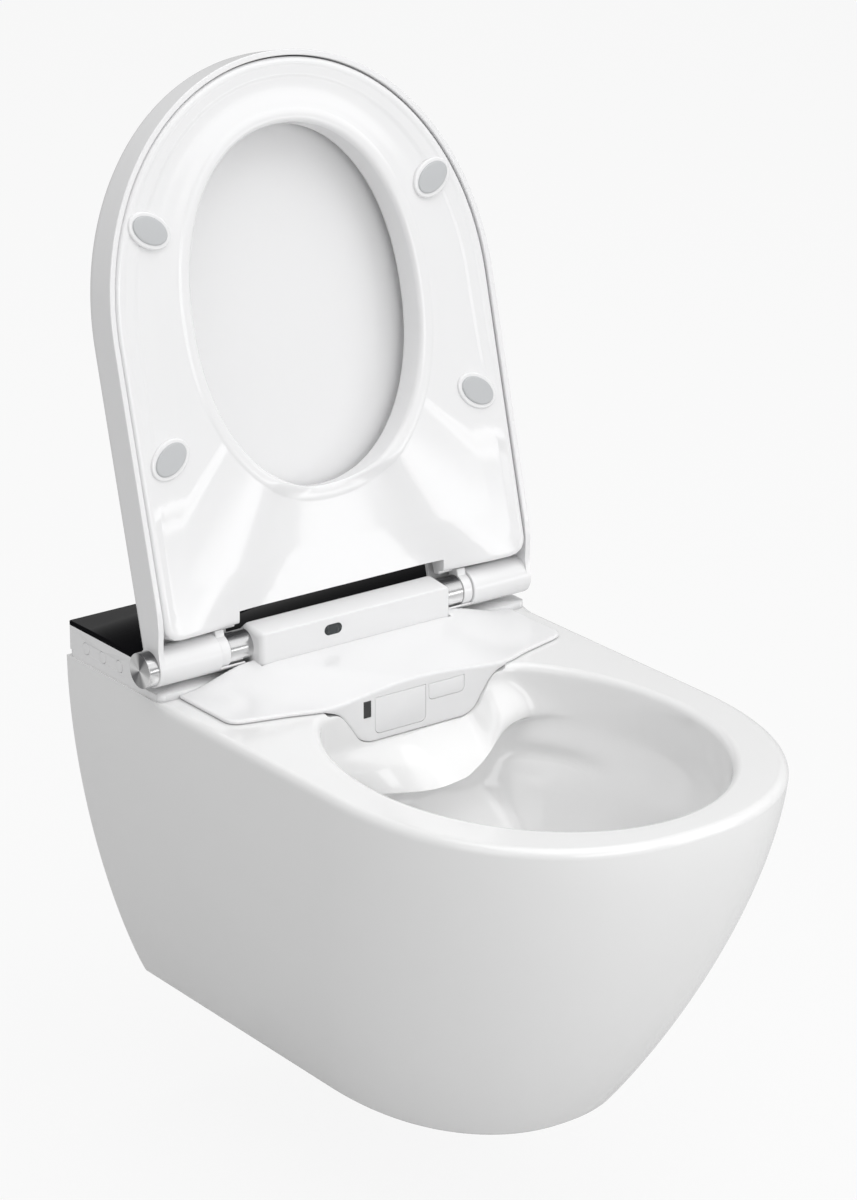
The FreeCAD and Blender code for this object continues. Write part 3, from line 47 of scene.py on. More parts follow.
LID_POWER = 2.04            # the same for lid and seat
LID_HALF = 190.0
LID_FRONT = 475.5           # reaches forward of the hinge line
LID_ROUND_START = 262.0
LID_WALL = 5.0
BARREL_RADIUS = 16.4
BAND_BORE = 14.9
AXLE_BORE = 4.05
SEAT_HALF = 184.1
SEAT_FRONT = 469.6
SEAT_REAR = 19.5
SEAT_SPLIT = -2.0           # heights of the seat over the hinge line
SEAT_TOP = 6.0
SEAT_FLOOR = -24.5
SEAT_MIDDLE = 266.0         # middle of the seat's opening
NECK_INNER = 104.5
KNUCKLE_INNER = 119.5
KNUCKLE_OUTER = 128.4
KNUCKLE_RADIUS = 14.4
BOX_HALF = 97.0
CONSOLE_Y = -238.0
PIN_ROOM = 1.6              # flap pins behind the console's face and below the flap's top


# ------------------------------------------------------------------ workshop helpers
def deselect():
    bpy.ops.object.select_all(action="DESELECT")


def pick(obj):
    deselect()
    obj.select_set(True)
    bpy.context.view_layer.objects.active = obj


def place_applied(obj):
    pick(obj)
    bpy.ops.object.transform_apply(location=True, rotation=True, scale=True)
    return obj


def named(obj, name):
    obj.name = name
    obj.data.name = name
    return obj


def clean(obj):
    pick(obj)
    bpy.ops.object.mode_set(mode="EDIT")
    bpy.ops.mesh.select_all(action="SELECT")
    bpy.ops.mesh.remove_doubles(threshold=0.01 * MM)
    bpy.ops.mesh.normals_make_consistent(inside=False)
    bpy.ops.object.mode_set(mode="OBJECT")


def smooth(obj, angle, even=False):
    """Smooth shading with sharp corners; even keeps flat faces flat beside small ones."""
    pick(obj)
    bpy.ops.object.shade_smooth_by_angle(angle=math.radians(angle))
    if even:
        modify(obj, "WEIGHTED_NORMAL", keep_sharp=True, weight=50)


def soft_step(value):
    """Rises from 0 to 1 without a corner."""
    value = min(max(value, 0.0), 1.0)
    return value * value * (3 - 2 * value)


def between(low, high, slope_low, slope_high, t):
    """A value on a smooth curve between two values with the slopes given at both."""
    t2, t3 = t * t, t * t * t
    return (low * (2 * t3 - 3 * t2 + 1) + slope_low * (t3 - 2 * t2 + t)
            + high * (3 * t2 - 2 * t3) + slope_high * (t3 - t2))


def curve_point(p0, p1, p2, p3, t):
    """A point between the two middle ones of four, on a smooth curve through all."""
    return tuple(
        0.5 * (2 * b + (c - a) * t + (2 * a - 5 * b + 4 * c - d) * t * t
               + (3 * b - a - 3 * c + d) * t ** 3)
        for a, b, c, d in zip(p0, p1, p2, p3))


def modify(obj, kind, **settings):
    modifier = obj.modifiers.new(kind.lower(), kind)
    for key, value in settings.items():
        setattr(modifier, key, value)
    pick(obj)
    bpy.ops.object.modifier_apply(modifier=modifier.name)
    return obj


def carve(obj, cutter, operation="DIFFERENCE"):
    modify(obj, "BOOLEAN", operation=operation, object=cutter, solver="EXACT")
    bpy.data.objects.remove(cutter)
    return obj


def block(name, x0, x1, y0, y1, z0, z1):
    deselect()
    bpy.ops.mesh.primitive_cube_add(size=1)
    obj = named(bpy.context.object, name)
    obj.scale = ((x1 - x0) * MM, (y1 - y0) * MM, (z1 - z0) * MM)
    obj.location = ((x0 + x1) / 2 * MM, (y0 + y1) / 2 * MM, (z0 + z1) / 2 * MM)
    return place_applied(obj)


def rounded(obj, edge, segments):
    return modify(obj, "BEVEL", width=edge * MM, segments=segments, limit_method="ANGLE")


def soft_block(name, x0, x1, y0, y1, z0, z1, edge):
    return rounded(block(name, x0, x1, y0, y1, z0, z1), edge, 3)


def drum(name, x, y, z, radius, length, axis, vertices=96):
    """A cylinder from the point x, y, z along an axis."""
    deselect()
    bpy.ops.mesh.primitive_cylinder_add(vertices=vertices, radius=radius * MM, depth=length * MM)
    obj = named(bpy.context.object, name)
    turn = {"X": (0, math.pi / 2, 0), "Y": (-math.pi / 2, 0, 0), "Z": (0, 0, 0)}[axis]
    obj.rotation_euler = turn
    step = {"X": Vector((1, 0, 0)), "Y": Vector((0, 1, 0)), "Z": Vector((0, 0, 1))}[axis]
    obj.location = (Vector((x, y, z)) + step * (length / 2)) * MM
    return place_applied(obj)


def hinge_drum(name, x, radius, length, vertices=128):
    return drum(name, x, HINGE_Y, HINGE_Z, radius, length, "X", vertices)


def ring_shell(name, rings, closed=False):
    """Draws a ring of points and extrudes it from place to place.

    The ends are closed with a face each, or the last ring is joined to the first one.
    """
    deselect()
    bpy.ops.mesh.primitive_circle_add(vertices=len(rings[0]), radius=1, fill_type="NOTHING")
    obj = named(bpy.context.object, name)
    bpy.ops.object.mode_set(mode="EDIT")
    mesh = bmesh.from_edit_mesh(obj.data)
    place = mesh.verts.layers.int.new("place")
    for i, vert in enumerate(mesh.verts):
        vert[place] = i
    bpy.ops.mesh.select_all(action="SELECT")
    move_ring(obj, rings[0])
    for ring in rings[1:] + rings[:1] * closed:
        bpy.ops.mesh.extrude_edges_move()
        move_ring(obj, ring)
    bpy.ops.mesh.select_all(action="SELECT")
    bpy.ops.mesh.remove_doubles(threshold=0.005 * MM)
    if not closed:
        bpy.ops.mesh.select_all(action="SELECT")
        bpy.ops.mesh.fill_holes(sides=0)
    bpy.ops.mesh.select_all(action="SELECT")
    bpy.ops.mesh.normals_make_consistent(inside=False)
    bpy.ops.object.mode_set(mode="OBJECT")
    return obj


def move_ring(obj, ring):
    mesh = bmesh.from_edit_mesh(obj.data)
    place = mesh.verts.layers.int["place"]
    for vert in mesh.verts:
        if vert.select:
            vert.co = Vector(ring[vert[place]]) * MM
    bmesh.update_edit_mesh(obj.data)


def prism_x(name, outline, x0, x1):
    return ring_shell(name, [[(x, y, z) for y, z in outline] for x in (x0, x1)])


def slab_y(name, outline, y0, y1):
    return ring_shell(name, [[(x, y, z) for x, z in outline] for y in (y0, y1)])


def merged_copy(node, name):
    """A node's shape with its triangles joined and its faces smooth."""
    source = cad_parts[node]
    obj = bpy.data.objects.new(name, source.data.copy())
    obj.data.name = name
    bpy.context.scene.collection.objects.link(obj)
    pick(obj)
    bpy.ops.object.mode_set(mode="EDIT")
    bpy.ops.mesh.select_all(action="SELECT")
    bpy.ops.mesh.remove_doubles(threshold=0.02 * MM)
    bpy.ops.object.mode_set(mode="OBJECT")
    smooth(obj, 32)
    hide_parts(node)
    return obj


def opened(obj):
    """Turns a piece from the closed place to the open place about the hinge line."""
    centre = Vector((0, HINGE_Y, HINGE_Z)) * MM
    turn = Matrix.Rotation(math.radians(-OPEN_ANGLE), 4, "X")
    obj.data.transform(Matrix.Translation(centre) @ turn @ Matrix.Translation(-centre))


def finished(obj, body, material):
    obj.data.materials.clear()
    obj.data.materials.append(material)
    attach(obj, body)


def joined(name, *objs):
    deselect()
    for obj in objs:
        obj.select_set(True)
    bpy.context.view_layer.objects.active = objs[0]
    if len(objs) > 1:
        bpy.ops.object.join()
    return named(bpy.context.object, name)


# ------------------------------------------------------------------ finishes
CLOUD = 0.98                # how dark the faint clouds in every colour are


def new_material(name):
    material = bpy.data.materials.new(name)
    material.use_nodes = True
    return material, material.node_tree.nodes, material.node_tree.links


def gloss(name, colour, roughness, vary, grain, bump=0.0, coat=0.0, metallic=0.0, ior=1.5, shine=0.5):
    """A shader with small uneven spots in colour and polish, and a faint waviness."""
    material, nodes, links = new_material(name)
    shader = nodes["Principled BSDF"]
    shader.inputs["Metallic"].default_value = metallic
    shader.inputs["IOR"].default_value = ior
    shader.inputs["Specular IOR Level"].default_value = shine
    shader.inputs["Coat Weight"].default_value = coat
    shader.inputs["Coat Roughness"].default_value = 0.1
    place = nodes.new("ShaderNodeTexCoord")
    noise = nodes.new("ShaderNodeTexNoise")
    noise.inputs["Scale"].default_value = grain
    noise.inputs["Detail"].default_value = 3.0
    links.new(place.outputs["Object"], noise.inputs["Vector"])
    cloud = nodes.new("ShaderNodeTexNoise")
    cloud.inputs["Scale"].default_value = 9.0
    cloud.inputs["Detail"].default_value = 2.0
    links.new(place.outputs["Object"], cloud.inputs["Vector"])
    polish = nodes.new("ShaderNodeMapRange")
    polish.inputs["To Min"].default_value = max(roughness - vary, 0.0)
    polish.inputs["To Max"].default_value = roughness + vary
    links.new(noise.outputs["Fac"], polish.inputs["Value"])
    links.new(polish.outputs["Result"], shader.inputs["Roughness"])
    shade = nodes.new("ShaderNodeMix")
    shade.data_type = "RGBA"
    shade.inputs["A"].default_value = (*[c * CLOUD for c in colour], 1)
    shade.inputs["B"].default_value = (*colour, 1)
    links.new(cloud.outputs["Fac"], shade.inputs["Factor"])
    links.new(shade.outputs["Result"], shader.inputs["Base Color"])
    if bump:
        relief = nodes.new("ShaderNodeBump")
        relief.inputs["Strength"].default_value = bump
        relief.inputs["Distance"].default_value = 0.0002
        links.new(noise.outputs["Fac"], relief.inputs["Height"])
        links.new(relief.outputs["Normal"], shader.inputs["Normal"])
    return material


def chrome_painted_sectors():
    """Chrome with painted highlight and painted shade: bright and dark sectors in its colour by the angle
    round the hinge line.
    """
    material, nodes, links = new_material("chrome_painted_sectors")
    shader = nodes["Principled BSDF"]
    shader.inputs["Metallic"].default_value = 1.0
    place = nodes.new("ShaderNodeTexCoord")
    centre = nodes.new("ShaderNodeVectorMath")
    centre.operation = "SUBTRACT"
    centre.inputs[1].default_value = (0.0, HINGE_Y * MM, HINGE_Z * MM)
    links.new(place.outputs["Object"], centre.inputs[0])
    split = nodes.new("ShaderNodeSeparateXYZ")
    links.new(centre.outputs["Vector"], split.inputs["Vector"])
    angle = nodes.new("ShaderNodeMath")
    angle.operation = "ARCTAN2"
    links.new(split.outputs["Z"], angle.inputs[0])
    links.new(split.outputs["Y"], angle.inputs[1])
    waves = []
    for times, shift in ((2.0, 0.7), (5.0, 1.9)):
        wave = nodes.new("ShaderNodeMath")
        wave.operation = "MULTIPLY_ADD"
        wave.inputs[1].default_value = times
        wave.inputs[2].default_value = shift
        links.new(angle.outputs["Value"], wave.inputs[0])
        sine = nodes.new("ShaderNodeMath")
        sine.operation = "SINE"
        links.new(wave.outputs["Value"], sine.inputs[0])
        waves.append(sine)
    total = nodes.new("ShaderNodeMath")
    total.operation = "MULTIPLY_ADD"
    total.inputs[1].default_value = 0.4
    links.new(waves[1].outputs["Value"], total.inputs[0])
    links.new(waves[0].outputs["Value"], total.inputs[2])
    ramp = nodes.new("ShaderNodeMapRange")
    ramp.inputs["From Min"].default_value = -1.0
    ramp.inputs["From Max"].default_value = 1.1
    links.new(total.outputs["Value"], ramp.inputs["Value"])
    # painted highlight and painted shade: the colour runs from dark to bright with the angle round the
    # hinge line
    shade = nodes.new("ShaderNodeMix")
    shade.data_type = "RGBA"
    shade.inputs["A"].default_value = (0.14, 0.14, 0.145, 1)
    shade.inputs["B"].default_value = (0.9, 0.9, 0.9, 1)
    links.new(ramp.outputs["Result"], shade.inputs["Factor"])
    links.new(shade.outputs["Result"], shader.inputs["Base Color"])
    grain = nodes.new("ShaderNodeTexNoise")
    grain.inputs["Scale"].default_value = 700.0
    links.new(place.outputs["Object"], grain.inputs["Vector"])
    polish = nodes.new("ShaderNodeMapRange")
    polish.inputs["To Min"].default_value = 0.14
    polish.inputs["To Max"].default_value = 0.26
    links.new(grain.outputs["Fac"], polish.inputs["Value"])
    links.new(polish.outputs["Result"], shader.inputs["Roughness"])
    return material


GLAZE = gloss("glazed_china", (0.83, 0.83, 0.83), 0.12, vary=0.015, grain=60.0, bump=0.02, coat=0.3)
WHITE = gloss("white_moulded_plastic", (0.82, 0.82, 0.825), 0.16, vary=0.02, grain=900.0, bump=0.02)
SEAT_WHITE = gloss("seat_white", (0.82, 0.82, 0.825), 0.14, vary=0.02, grain=700.0, bump=0.02, coat=0.2)
GREY = gloss("grey_moulded_plastic", (0.36, 0.37, 0.38), 0.4, vary=0.05, grain=1200.0, bump=0.05)
BLACK_GLASS = gloss("black_glass", (0.006, 0.006, 0.007), 0.08, vary=0.01, grain=40.0, ior=1.2, shine=0.06)
SMOKED = gloss("smoked_lens", (0.03, 0.035, 0.037), 0.08, vary=0.02, grain=300.0)
WINDOW = gloss("dark_window", (0.04, 0.04, 0.041), 0.2, vary=0.03, grain=300.0)
CHROME = gloss("chrome", (0.78, 0.78, 0.79), 0.1, vary=0.03, grain=500.0, metallic=1.0)
# chrome for the hinge sleeves and the left cap, with painted highlight and shade sectors in its colour
PAINTED_SECTOR_CHROME = chrome_painted_sectors()
STEEL = gloss("turned_steel", (0.5, 0.5, 0.5), 0.3, vary=0.06, grain=900.0, metallic=1.0)
BRASS = gloss("machined_brass", (0.7, 0.52, 0.24), 0.25, vary=0.05, grain=600.0, metallic=1.0)
PAD = gloss("grey_soft_pad", (0.5, 0.51, 0.52), 0.38, vary=0.05, grain=1500.0, bump=0.06)
BLACK_RUBBER = gloss("black_rubber", (0.02, 0.02, 0.02), 0.6, vary=0.08, grain=900.0, bump=0.1)
BLACK = gloss("black_moulded_plastic", (0.02, 0.02, 0.022), 0.4, vary=0.06, grain=900.0, bump=0.05)
BOARD = gloss("circuit_board_green", (0.02, 0.13, 0.06), 0.35, vary=0.1, grain=500.0, bump=0.1)
FOIL = gloss("heating_foil", (0.6, 0.5, 0.38), 0.35, vary=0.1, grain=300.0, metallic=0.8)
FOAM = gloss("carbon_foam", (0.03, 0.03, 0.03), 0.9, vary=0.05, grain=900.0, bump=0.8)


# ------------------------------------------------------------------ outlines shared by body, lid and seat
def d_ring(half, rear, middle, front, z, power, counts, corner=0.0):
    """Points round a D: from the rear centre by the right side and the front to the left side."""
    rear_count, side_count, front_count = counts
    share = 2 / power
    right = []
    for k in range(rear_count):
        right.append((half * k / rear_count, rear))
    for k in range(side_count):
        right.append((half, rear + (middle - rear) * k / side_count))
    if corner:
        right = [rounded_corner(x, y, half, rear, corner) for x, y in right]
    front_points = []
    for k in range(front_count + 1):
        turn = math.pi * (0.5 - k / front_count)
        x = half * math.copysign(abs(math.sin(turn)) ** share, math.sin(turn))
        y = middle - (middle - front) * abs(math.cos(turn)) ** share
        front_points.append((x, y))
    left = [(-x, y) for x, y in reversed(right[1:])]
    return [(x, y, z) for x, y in right + front_points + left]


def rounded_corner(x, y, half, rear, radius):
    """Moves a point of a square rear corner onto its quarter round, keeping the spacing even."""
    run = (x - (half - radius)) + (rear - y)
    if run <= 0 or y < rear - radius:
        return x, y
    turn = math.pi / 2 * min(run / (2 * radius), 1.0)
    return half - radius + radius * math.sin(turn), rear - radius + radius * math.cos(turn)


def round_steps(radius, steps):
    rows = []
    for i in range(steps + 1):
        turn = math.pi / 2 * i / steps
        rows.append((radius * (1 - math.sin(turn)), radius * (1 - math.cos(turn))))
    return rows


# ------------------------------------------------------------------ ceramic body
BODY_COUNTS = (24, 40, 110)
BODY_HEIGHT = 315.0
FOOT_HALF, HALF_GAIN = 117.0, 72.5          # the foot, and how much the deck adds to it
FOOT_FRONT, FRONT_GAIN = 439.0, 161.0
BODY_ROUND_START = 0.625    # share of the length where the round front begins
OPENING_MID_Y = -385.0
BOWL_DEPTH = 283.0
BOWL_HALF = 149.0
BOWL_BACK, BOWL_FRONT = 192.0, 180.0
BOWL_SHIFT = 19.0           # how far the bowl's middle moves back on the way down
MELT = 6.0                  # width over which the bowl's rear wall runs into its limit
# share of the bowl's depth, of its width and of its length
BOWL_ROWS = (
    (0.025, 1.0, 1.0),
    (0.10, 0.995, 0.997),
    (0.175, 0.985, 0.985),
    (0.235, 0.945, 0.95),
    (0.30, 0.885, 0.90),
    (0.40, 0.80, 0.83),
    (0.55, 0.635, 0.68),
    (0.70, 0.45, 0.50),
    (0.85, 0.29, 0.34),
    (1.0, 0.20, 0.22),
)


def body_size(depth):
    share = min(max(depth / BODY_HEIGHT, 0.0), 1.0)
    half = FOOT_HALF + HALF_GAIN * (1 - share ** 1.8) ** 0.9
    front = -(FOOT_FRONT + FRONT_GAIN * (1 - share ** 1.45) ** 0.95)
    return half, front


def body_ring(depth, inset=0.0, rear=0.0):
    """The body's outline at a depth below the deck, moved inward."""
    half, front = body_size(depth)
    return d_ring(
        half - inset, rear, front * BODY_ROUND_START, front + inset, DECK - depth, BODY_POWER,
        BODY_COUNTS)


def body_top_ring(drop, inset):
    """The rounded top edge, which is left square under the unit at the back."""
    points = []
    square = body_ring(0.0)
    soft = body_ring(drop, inset)
    for (x0, y0, z0), (x1, y1, z1) in zip(square, soft):
        front_share = min(max((-136.0 - y0) / 8.0, 0.0), 1.0)
        low = DECK - drop * 0.02
        points.append((
            x0 + (x1 - x0) * front_share, y0 + (y1 - y0) * front_share,
            low + (z1 - low) * front_share))
    return points


def row_at(share):
    """Width and length shares of the bowl at a share of its depth, on a smooth curve through the rows."""
    rows = BOWL_ROWS
    i = 0
    while i < len(rows) - 2 and share > rows[i + 1][0]:
        i += 1
    low, high = rows[i], rows[i + 1]
    before = rows[max(i - 1, 0)]
    after = rows[min(i + 2, len(rows) - 1)]
    span = high[0] - low[0]
    t = min(max((share - low[0]) / span, 0.0), 1.0)
    values = []
    for k in (1, 2):
        slope_low = (high[k] - before[k]) / (high[0] - before[0]) * span
        slope_high = (after[k] - low[k]) / (after[0] - low[0]) * span
        values.append(between(low[k], high[k], slope_low, slope_high, t))
    return values


# the lip below the console: x, how deep it lies, where it stands
LIP = (
    (-150.0, 76.0, -277.0), (-41.0, 75.0, -277.0), (18.0, 70.5, -278.0), (35.0, 67.0, -273.0),
    (49.0, 62.0, -268.0), (62.0, 53.0, -263.5), (75.0, 45.5, -260.0), (90.0, 42.5, -257.5),
    (107.0, 41.5, -257.0), (121.0, 40.0, -268.0), (150.0, 40.0, -290.0),
)


def lip_at(x):
    """Depth and place of the lip's edge at x, on a smooth curve through the rows."""
    i = 0
    while i < len(LIP) - 2 and x > LIP[i + 1][0]:
        i += 1
    p0, p1 = LIP[max(i - 1, 0)], LIP[i]
    p2, p3 = LIP[i + 1], LIP[min(i + 2, len(LIP) - 1)]
    span = p2[0] - p1[0]
    t = min(max((x - p1[0]) / span, 0.0), 1.0)
    values = []
    for k in (1, 2):
        low = (p2[k] - p0[k]) / max(p2[0] - p0[0], 1.0) * span
        high = (p3[k] - p1[k]) / max(p3[0] - p1[0], 1.0) * span
        values.append(between(p1[k], p2[k], low, high, t))
    return values


CONSOLE_FOOT = 37.0         # depth of the console's lower edge
ROW_ALONG_LIP = 60.0
LAST_LIP_ROW = 130.0


def tongue_limit(depth, x):
    """How far back the bowl may reach at a depth: a lip below the console with a hollow behind it."""
    below = max(depth - CONSOLE_FOOT, 0.0)
    ramp = CONSOLE_Y - 62.0 * (1 - math.exp(-below / 38.0))
    lip, edge_y = lip_at(x)
    to_side = soft_step((x - 50.0) / 25.0)
    start = CONSOLE_FOOT - 29.0 * to_side
    share = min(max((depth - start) / (lip - start), 0.0), 1.0)
    share += (soft_step(share) - share) * to_side
    face = CONSOLE_Y + (edge_y - CONSOLE_Y) * share
    if depth > lip:
        back = CONSOLE_Y - 44.0 * soft_step((depth - 90.0) / 60.0)
        face += (back - face) * (1 - math.exp(-((depth - lip) / 7.0) ** 2))
    limit = ramp + (face - ramp) * soft_step((x + 70.0) / 50.0)
    flank = 45.0 * min(below / 40.0, 1.0) * soft_step((60.0 - x) / 60.0)
    return limit + flank * (1 - math.exp(-((min(x, 0.0) / 55.0) ** 2)))


def channel(y, z):
    """How far the flush water's channel goes into the right wall."""
    return 9.0 * math.exp(-(((z - 22.0) / 9.0) ** 2)) * soft_step((y + 345.0) / 85.0)


def beside_lip(depth, x):
    """Shifts the rows of the bowl's rear wall so that one of them runs along the lip."""
    lip = lip_at(x)[0]
    if depth <= ROW_ALONG_LIP:
        return 10.0 + (depth - 10.0) * (lip - 10.0) / (ROW_ALONG_LIP - 10.0) if depth > 10.0 else depth
    if depth < LAST_LIP_ROW:
        return lip + (depth - ROW_ALONG_LIP) * (LAST_LIP_ROW - lip) / (LAST_LIP_ROW - ROW_ALONG_LIP)
    return depth


def bowl_ring(share, turns, grow=0.0, lift=0.0):
    """The bowl's inside at a share of its depth, one point for each direction, grown outward."""
    level = BOWL_DEPTH * share
    points = []
    for turn in turns:
        rear_part = soft_step((math.cos(turn) - 0.25) / 0.3)
        width = row_at(share)[0]
        x = BOWL_HALF * width * math.sin(turn)
        depth = level + (beside_lip(level, x) - level) * rear_part
        width, length = row_at(depth / BOWL_DEPTH)
        middle = OPENING_MID_Y + BOWL_SHIFT * depth / BOWL_DEPTH
        x = (BOWL_HALF * width + grow) * math.sin(turn)
        reach = (BOWL_BACK if math.cos(turn) > 0 else BOWL_FRONT) * length + grow
        y = middle + reach * math.cos(turn)
        limit = tongue_limit(depth, x) + grow
        apart = abs(y - limit) / MELT
        y = min(y, limit) - MELT * math.log(1 + math.exp(-apart))
        z = DECK - depth + lift
        x += channel(y, z) * soft_step((x - 60.0) / 40.0)
        points.append((x, y, z))
    return points


BEND = 42.0                 # radius of the waterways' middle line at their bends


def pipe_shell(name, points, radius):
    """A round bar along straight runs with tangent arcs."""
    steps, count = 8, 40
    path = [points[0]]
    for before, corner, after in zip(points, points[1:], points[2:]):
        a = (before - corner).normalized()
        b = (after - corner).normalized()
        turn = math.pi - a.angle(b)
        back = BEND * math.tan(turn / 2)
        start, end = corner + a * back, corner + b * back
        centre = corner + (a + b).normalized() * (BEND / math.cos(turn / 2))
        for i in range(steps + 1):
            share = i / steps
            spoke = (start - centre).normalized().slerp((end - centre).normalized(), share)
            path.append(centre + spoke * BEND)
    path.append(points[-1])
    rings = []
    side = Vector((1, 0, 0)) if abs((path[1] - path[0]).normalized().x) < 0.9 else Vector((0, 0, 1))
    for i, point in enumerate(path):
        along = (path[min(i + 1, len(path) - 1)] - path[max(i - 1, 0)]).normalized()
        side = (side - along * side.dot(along)).normalized()
        up = along.cross(side)
        ring = []
        for k in range(count):
            turn = 2 * math.pi * k / count
            ring.append(point + side * (radius * math.cos(turn)) + up * (radius * math.sin(turn)))
        rings.append(ring)
    return ring_shell(name, rings)


def console_outline(grow=0.0):
    """The console's outline from the front: foot, flanks and flares up to the deck."""
    corners = [
        (0.0, -36.0 - grow), (28.0, -36.0 - grow), (46.0 + grow * 0.5, -36.0 - grow),
        (58.5 + grow, -31.0 - grow), (67.5 + grow, -19.0 - grow), (78.0 + grow, -6.0 - grow),
        (92.0 + 3 * grow, 0.0), (92.0 + 3 * grow, 1.0 + 30 * (grow > 0)),
    ]
    points = [corners[0]]
    for i in range(1, len(corners) - 1):
        p0 = corners[i - 1]
        p1, p2 = corners[i], corners[i + 1]
        p3 = corners[min(i + 2, len(corners) - 1)]
        steps = 6 if 1 < i < len(corners) - 2 else 1
        points += [curve_point(p0, p1, p2, p3, k / steps) for k in range(steps)]
    points.append(corners[-1])
    full = points + [(-x, z) for x, z in reversed(points[1:])]
    return [(x, DECK + z) for x, z in full]


def ceramic_body():
    """The fired piece: outside, rim and bowl in one shell, hollowed from behind, then bored."""
    turns = [math.atan2(x, y - OPENING_MID_Y) for x, y, z in body_ring(0.0)]
    rings = [body_ring(BODY_HEIGHT - rise, inset) for rise, inset in reversed(round_steps(5.0, 4))]
    rings += [body_ring(BODY_HEIGHT - 5.0 - (BODY_HEIGHT - 13.0) * k / 30) for k in range(1, 30)]
    rings += [body_top_ring(drop, inset) for drop, inset in round_steps(8.0, 8)]
    top = rings[-1]
    mouth_round = BOWL_DEPTH * BOWL_ROWS[0][0]
    mouth = []
    for drop, flare in reversed(round_steps(mouth_round, 7)):
        mouth.append(bowl_ring(BOWL_ROWS[0][0], turns, flare, mouth_round - drop))
    first = mouth[0]
    for share in (0.3, 0.65):
        rings.append([
            tuple(a + (b - a) * share for a, b in zip(p, q)) for p, q in zip(top, first)])
    rings += mouth
    depths = [10.0 + 3.125 * k for k in range(12)] + [46.0 + 1.75 * k for k in range(8)]
    depths += [60.0 + 1.0 * k for k in range(8)] + [69.0 + 2.3 * k for k in range(10)]
    depths += [92.0 + (BOWL_DEPTH - 92.0) * k / 36 for k in range(37)]
    rings += [bowl_ring(depth / BOWL_DEPTH, turns) for depth in depths]
    body = ring_shell("glazed_body", rings)

    hollow_depths = (22.0, 60.0, 100.0, 140.0, 180.0, 220.0, 260.0, 290.0, 305.0)
    hollow = ring_shell("hollow", [body_ring(depth, 11.0, 6.0) for depth in hollow_depths])
    even = [2 * math.pi * i / 96 for i in range(96)]
    kept_rings = [bowl_ring(BOWL_ROWS[0][0], even, 10.0, lift) for lift in (2.0, -10.0)]
    kept_rings += [bowl_ring(0.1 + 0.9 * k / 40, even, 10.0, -4.0) for k in range(41)]
    kept = ring_shell("kept", kept_rings)
    # drums and pipes stand a trace off the middle line, so that no two edges fall together
    trap = [Vector(p) for p in (
        (0.03, -358, -154), (0.03, -262, -154), (0.03, -205, -65), (0.03, -152, -65), (0.03, -100, -100),
        (0.03, 12, -100))]
    flush = [Vector(p) for p in ((0.04, 12, 35), (0.04, -62, 35), (42, -150, 27), (46, -262, 25))]
    solids = [
        pipe_shell("trap_wall", trap, 36.0),
        pipe_shell("flush_wall", flush[:3] + [Vector((46, -250, 25))], 19.0),
        drum("inlet_boss", 0.02, -54, 35, 36.5, 63, "Y"),
        drum("spigot", 0.02, -62, -100, 51.0, 70, "Y"),
        block("pocket_wall", -136, 136, -236, -34, 50, 90),
        block("tongue_core", -140, 140, -300, -225, -8, 91),
    ]
    for side in (-1, 1):
        solids.append(block("boss", side * 90 - 31, side * 90 + 31, -46, 8, -30, 80))
    for solid in [kept] + solids:
        carve(hollow, solid)
    carve(body, hollow)
    cutters = [
        pipe_shell("trap_bore", trap, 27.0),
        pipe_shell("flush_bore", flush, 11.0),
        drum("inlet_bore", 0.05, -46, 35, 27.5, 60, "Y"),
        drum("outlet_bore", 0.05, -56, -100, 43.0, 70, "Y"),
        block("pocket_deep", -122, 122, -221, -98, 58, 101),
        block("pocket_shelf", -128, 128, -99, -42, 76, 101),
        slab_y("console_gap", console_outline(0.12), -250.0, -220.0),
    ]
    for side in (-1, 1):
        cutters.append(drum("stud_hole", side * 90, -56, 0, 10.0, 70, "Y"))
        cutters.append(drum("service_hole", side * 100, -24, 56, 14.0, 50, "Z"))
        cutters.append(block("service_slot", side * 100 - 10, side * 100 + 10, -24, 8, 56, 78))
        cutters.append(drum("fixing_hole", side * 153, -62, 70, 7.0, 40, "Z"))
    for cutter in cutters:
        carve(body, cutter)
    clean(body)
    smooth(body, 32, even=True)
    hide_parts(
        "ceramic_deck", "ceramic_skirt", "ceramic_bowl", "waste_trap", "flush_duct", "wall_bosses")
    finished(body, "fixed", GLAZE)


# ------------------------------------------------------------------ lid
LID_COUNTS = (8, 24, 96)


def lid_ring(inset, height, rear=0.0):
    return d_ring(
        LID_HALF - inset, HINGE_Y + rear, HINGE_Y - LID_ROUND_START, HINGE_Y - LID_FRONT + inset,
        HINGE_Z + height, LID_POWER, LID_COUNTS)


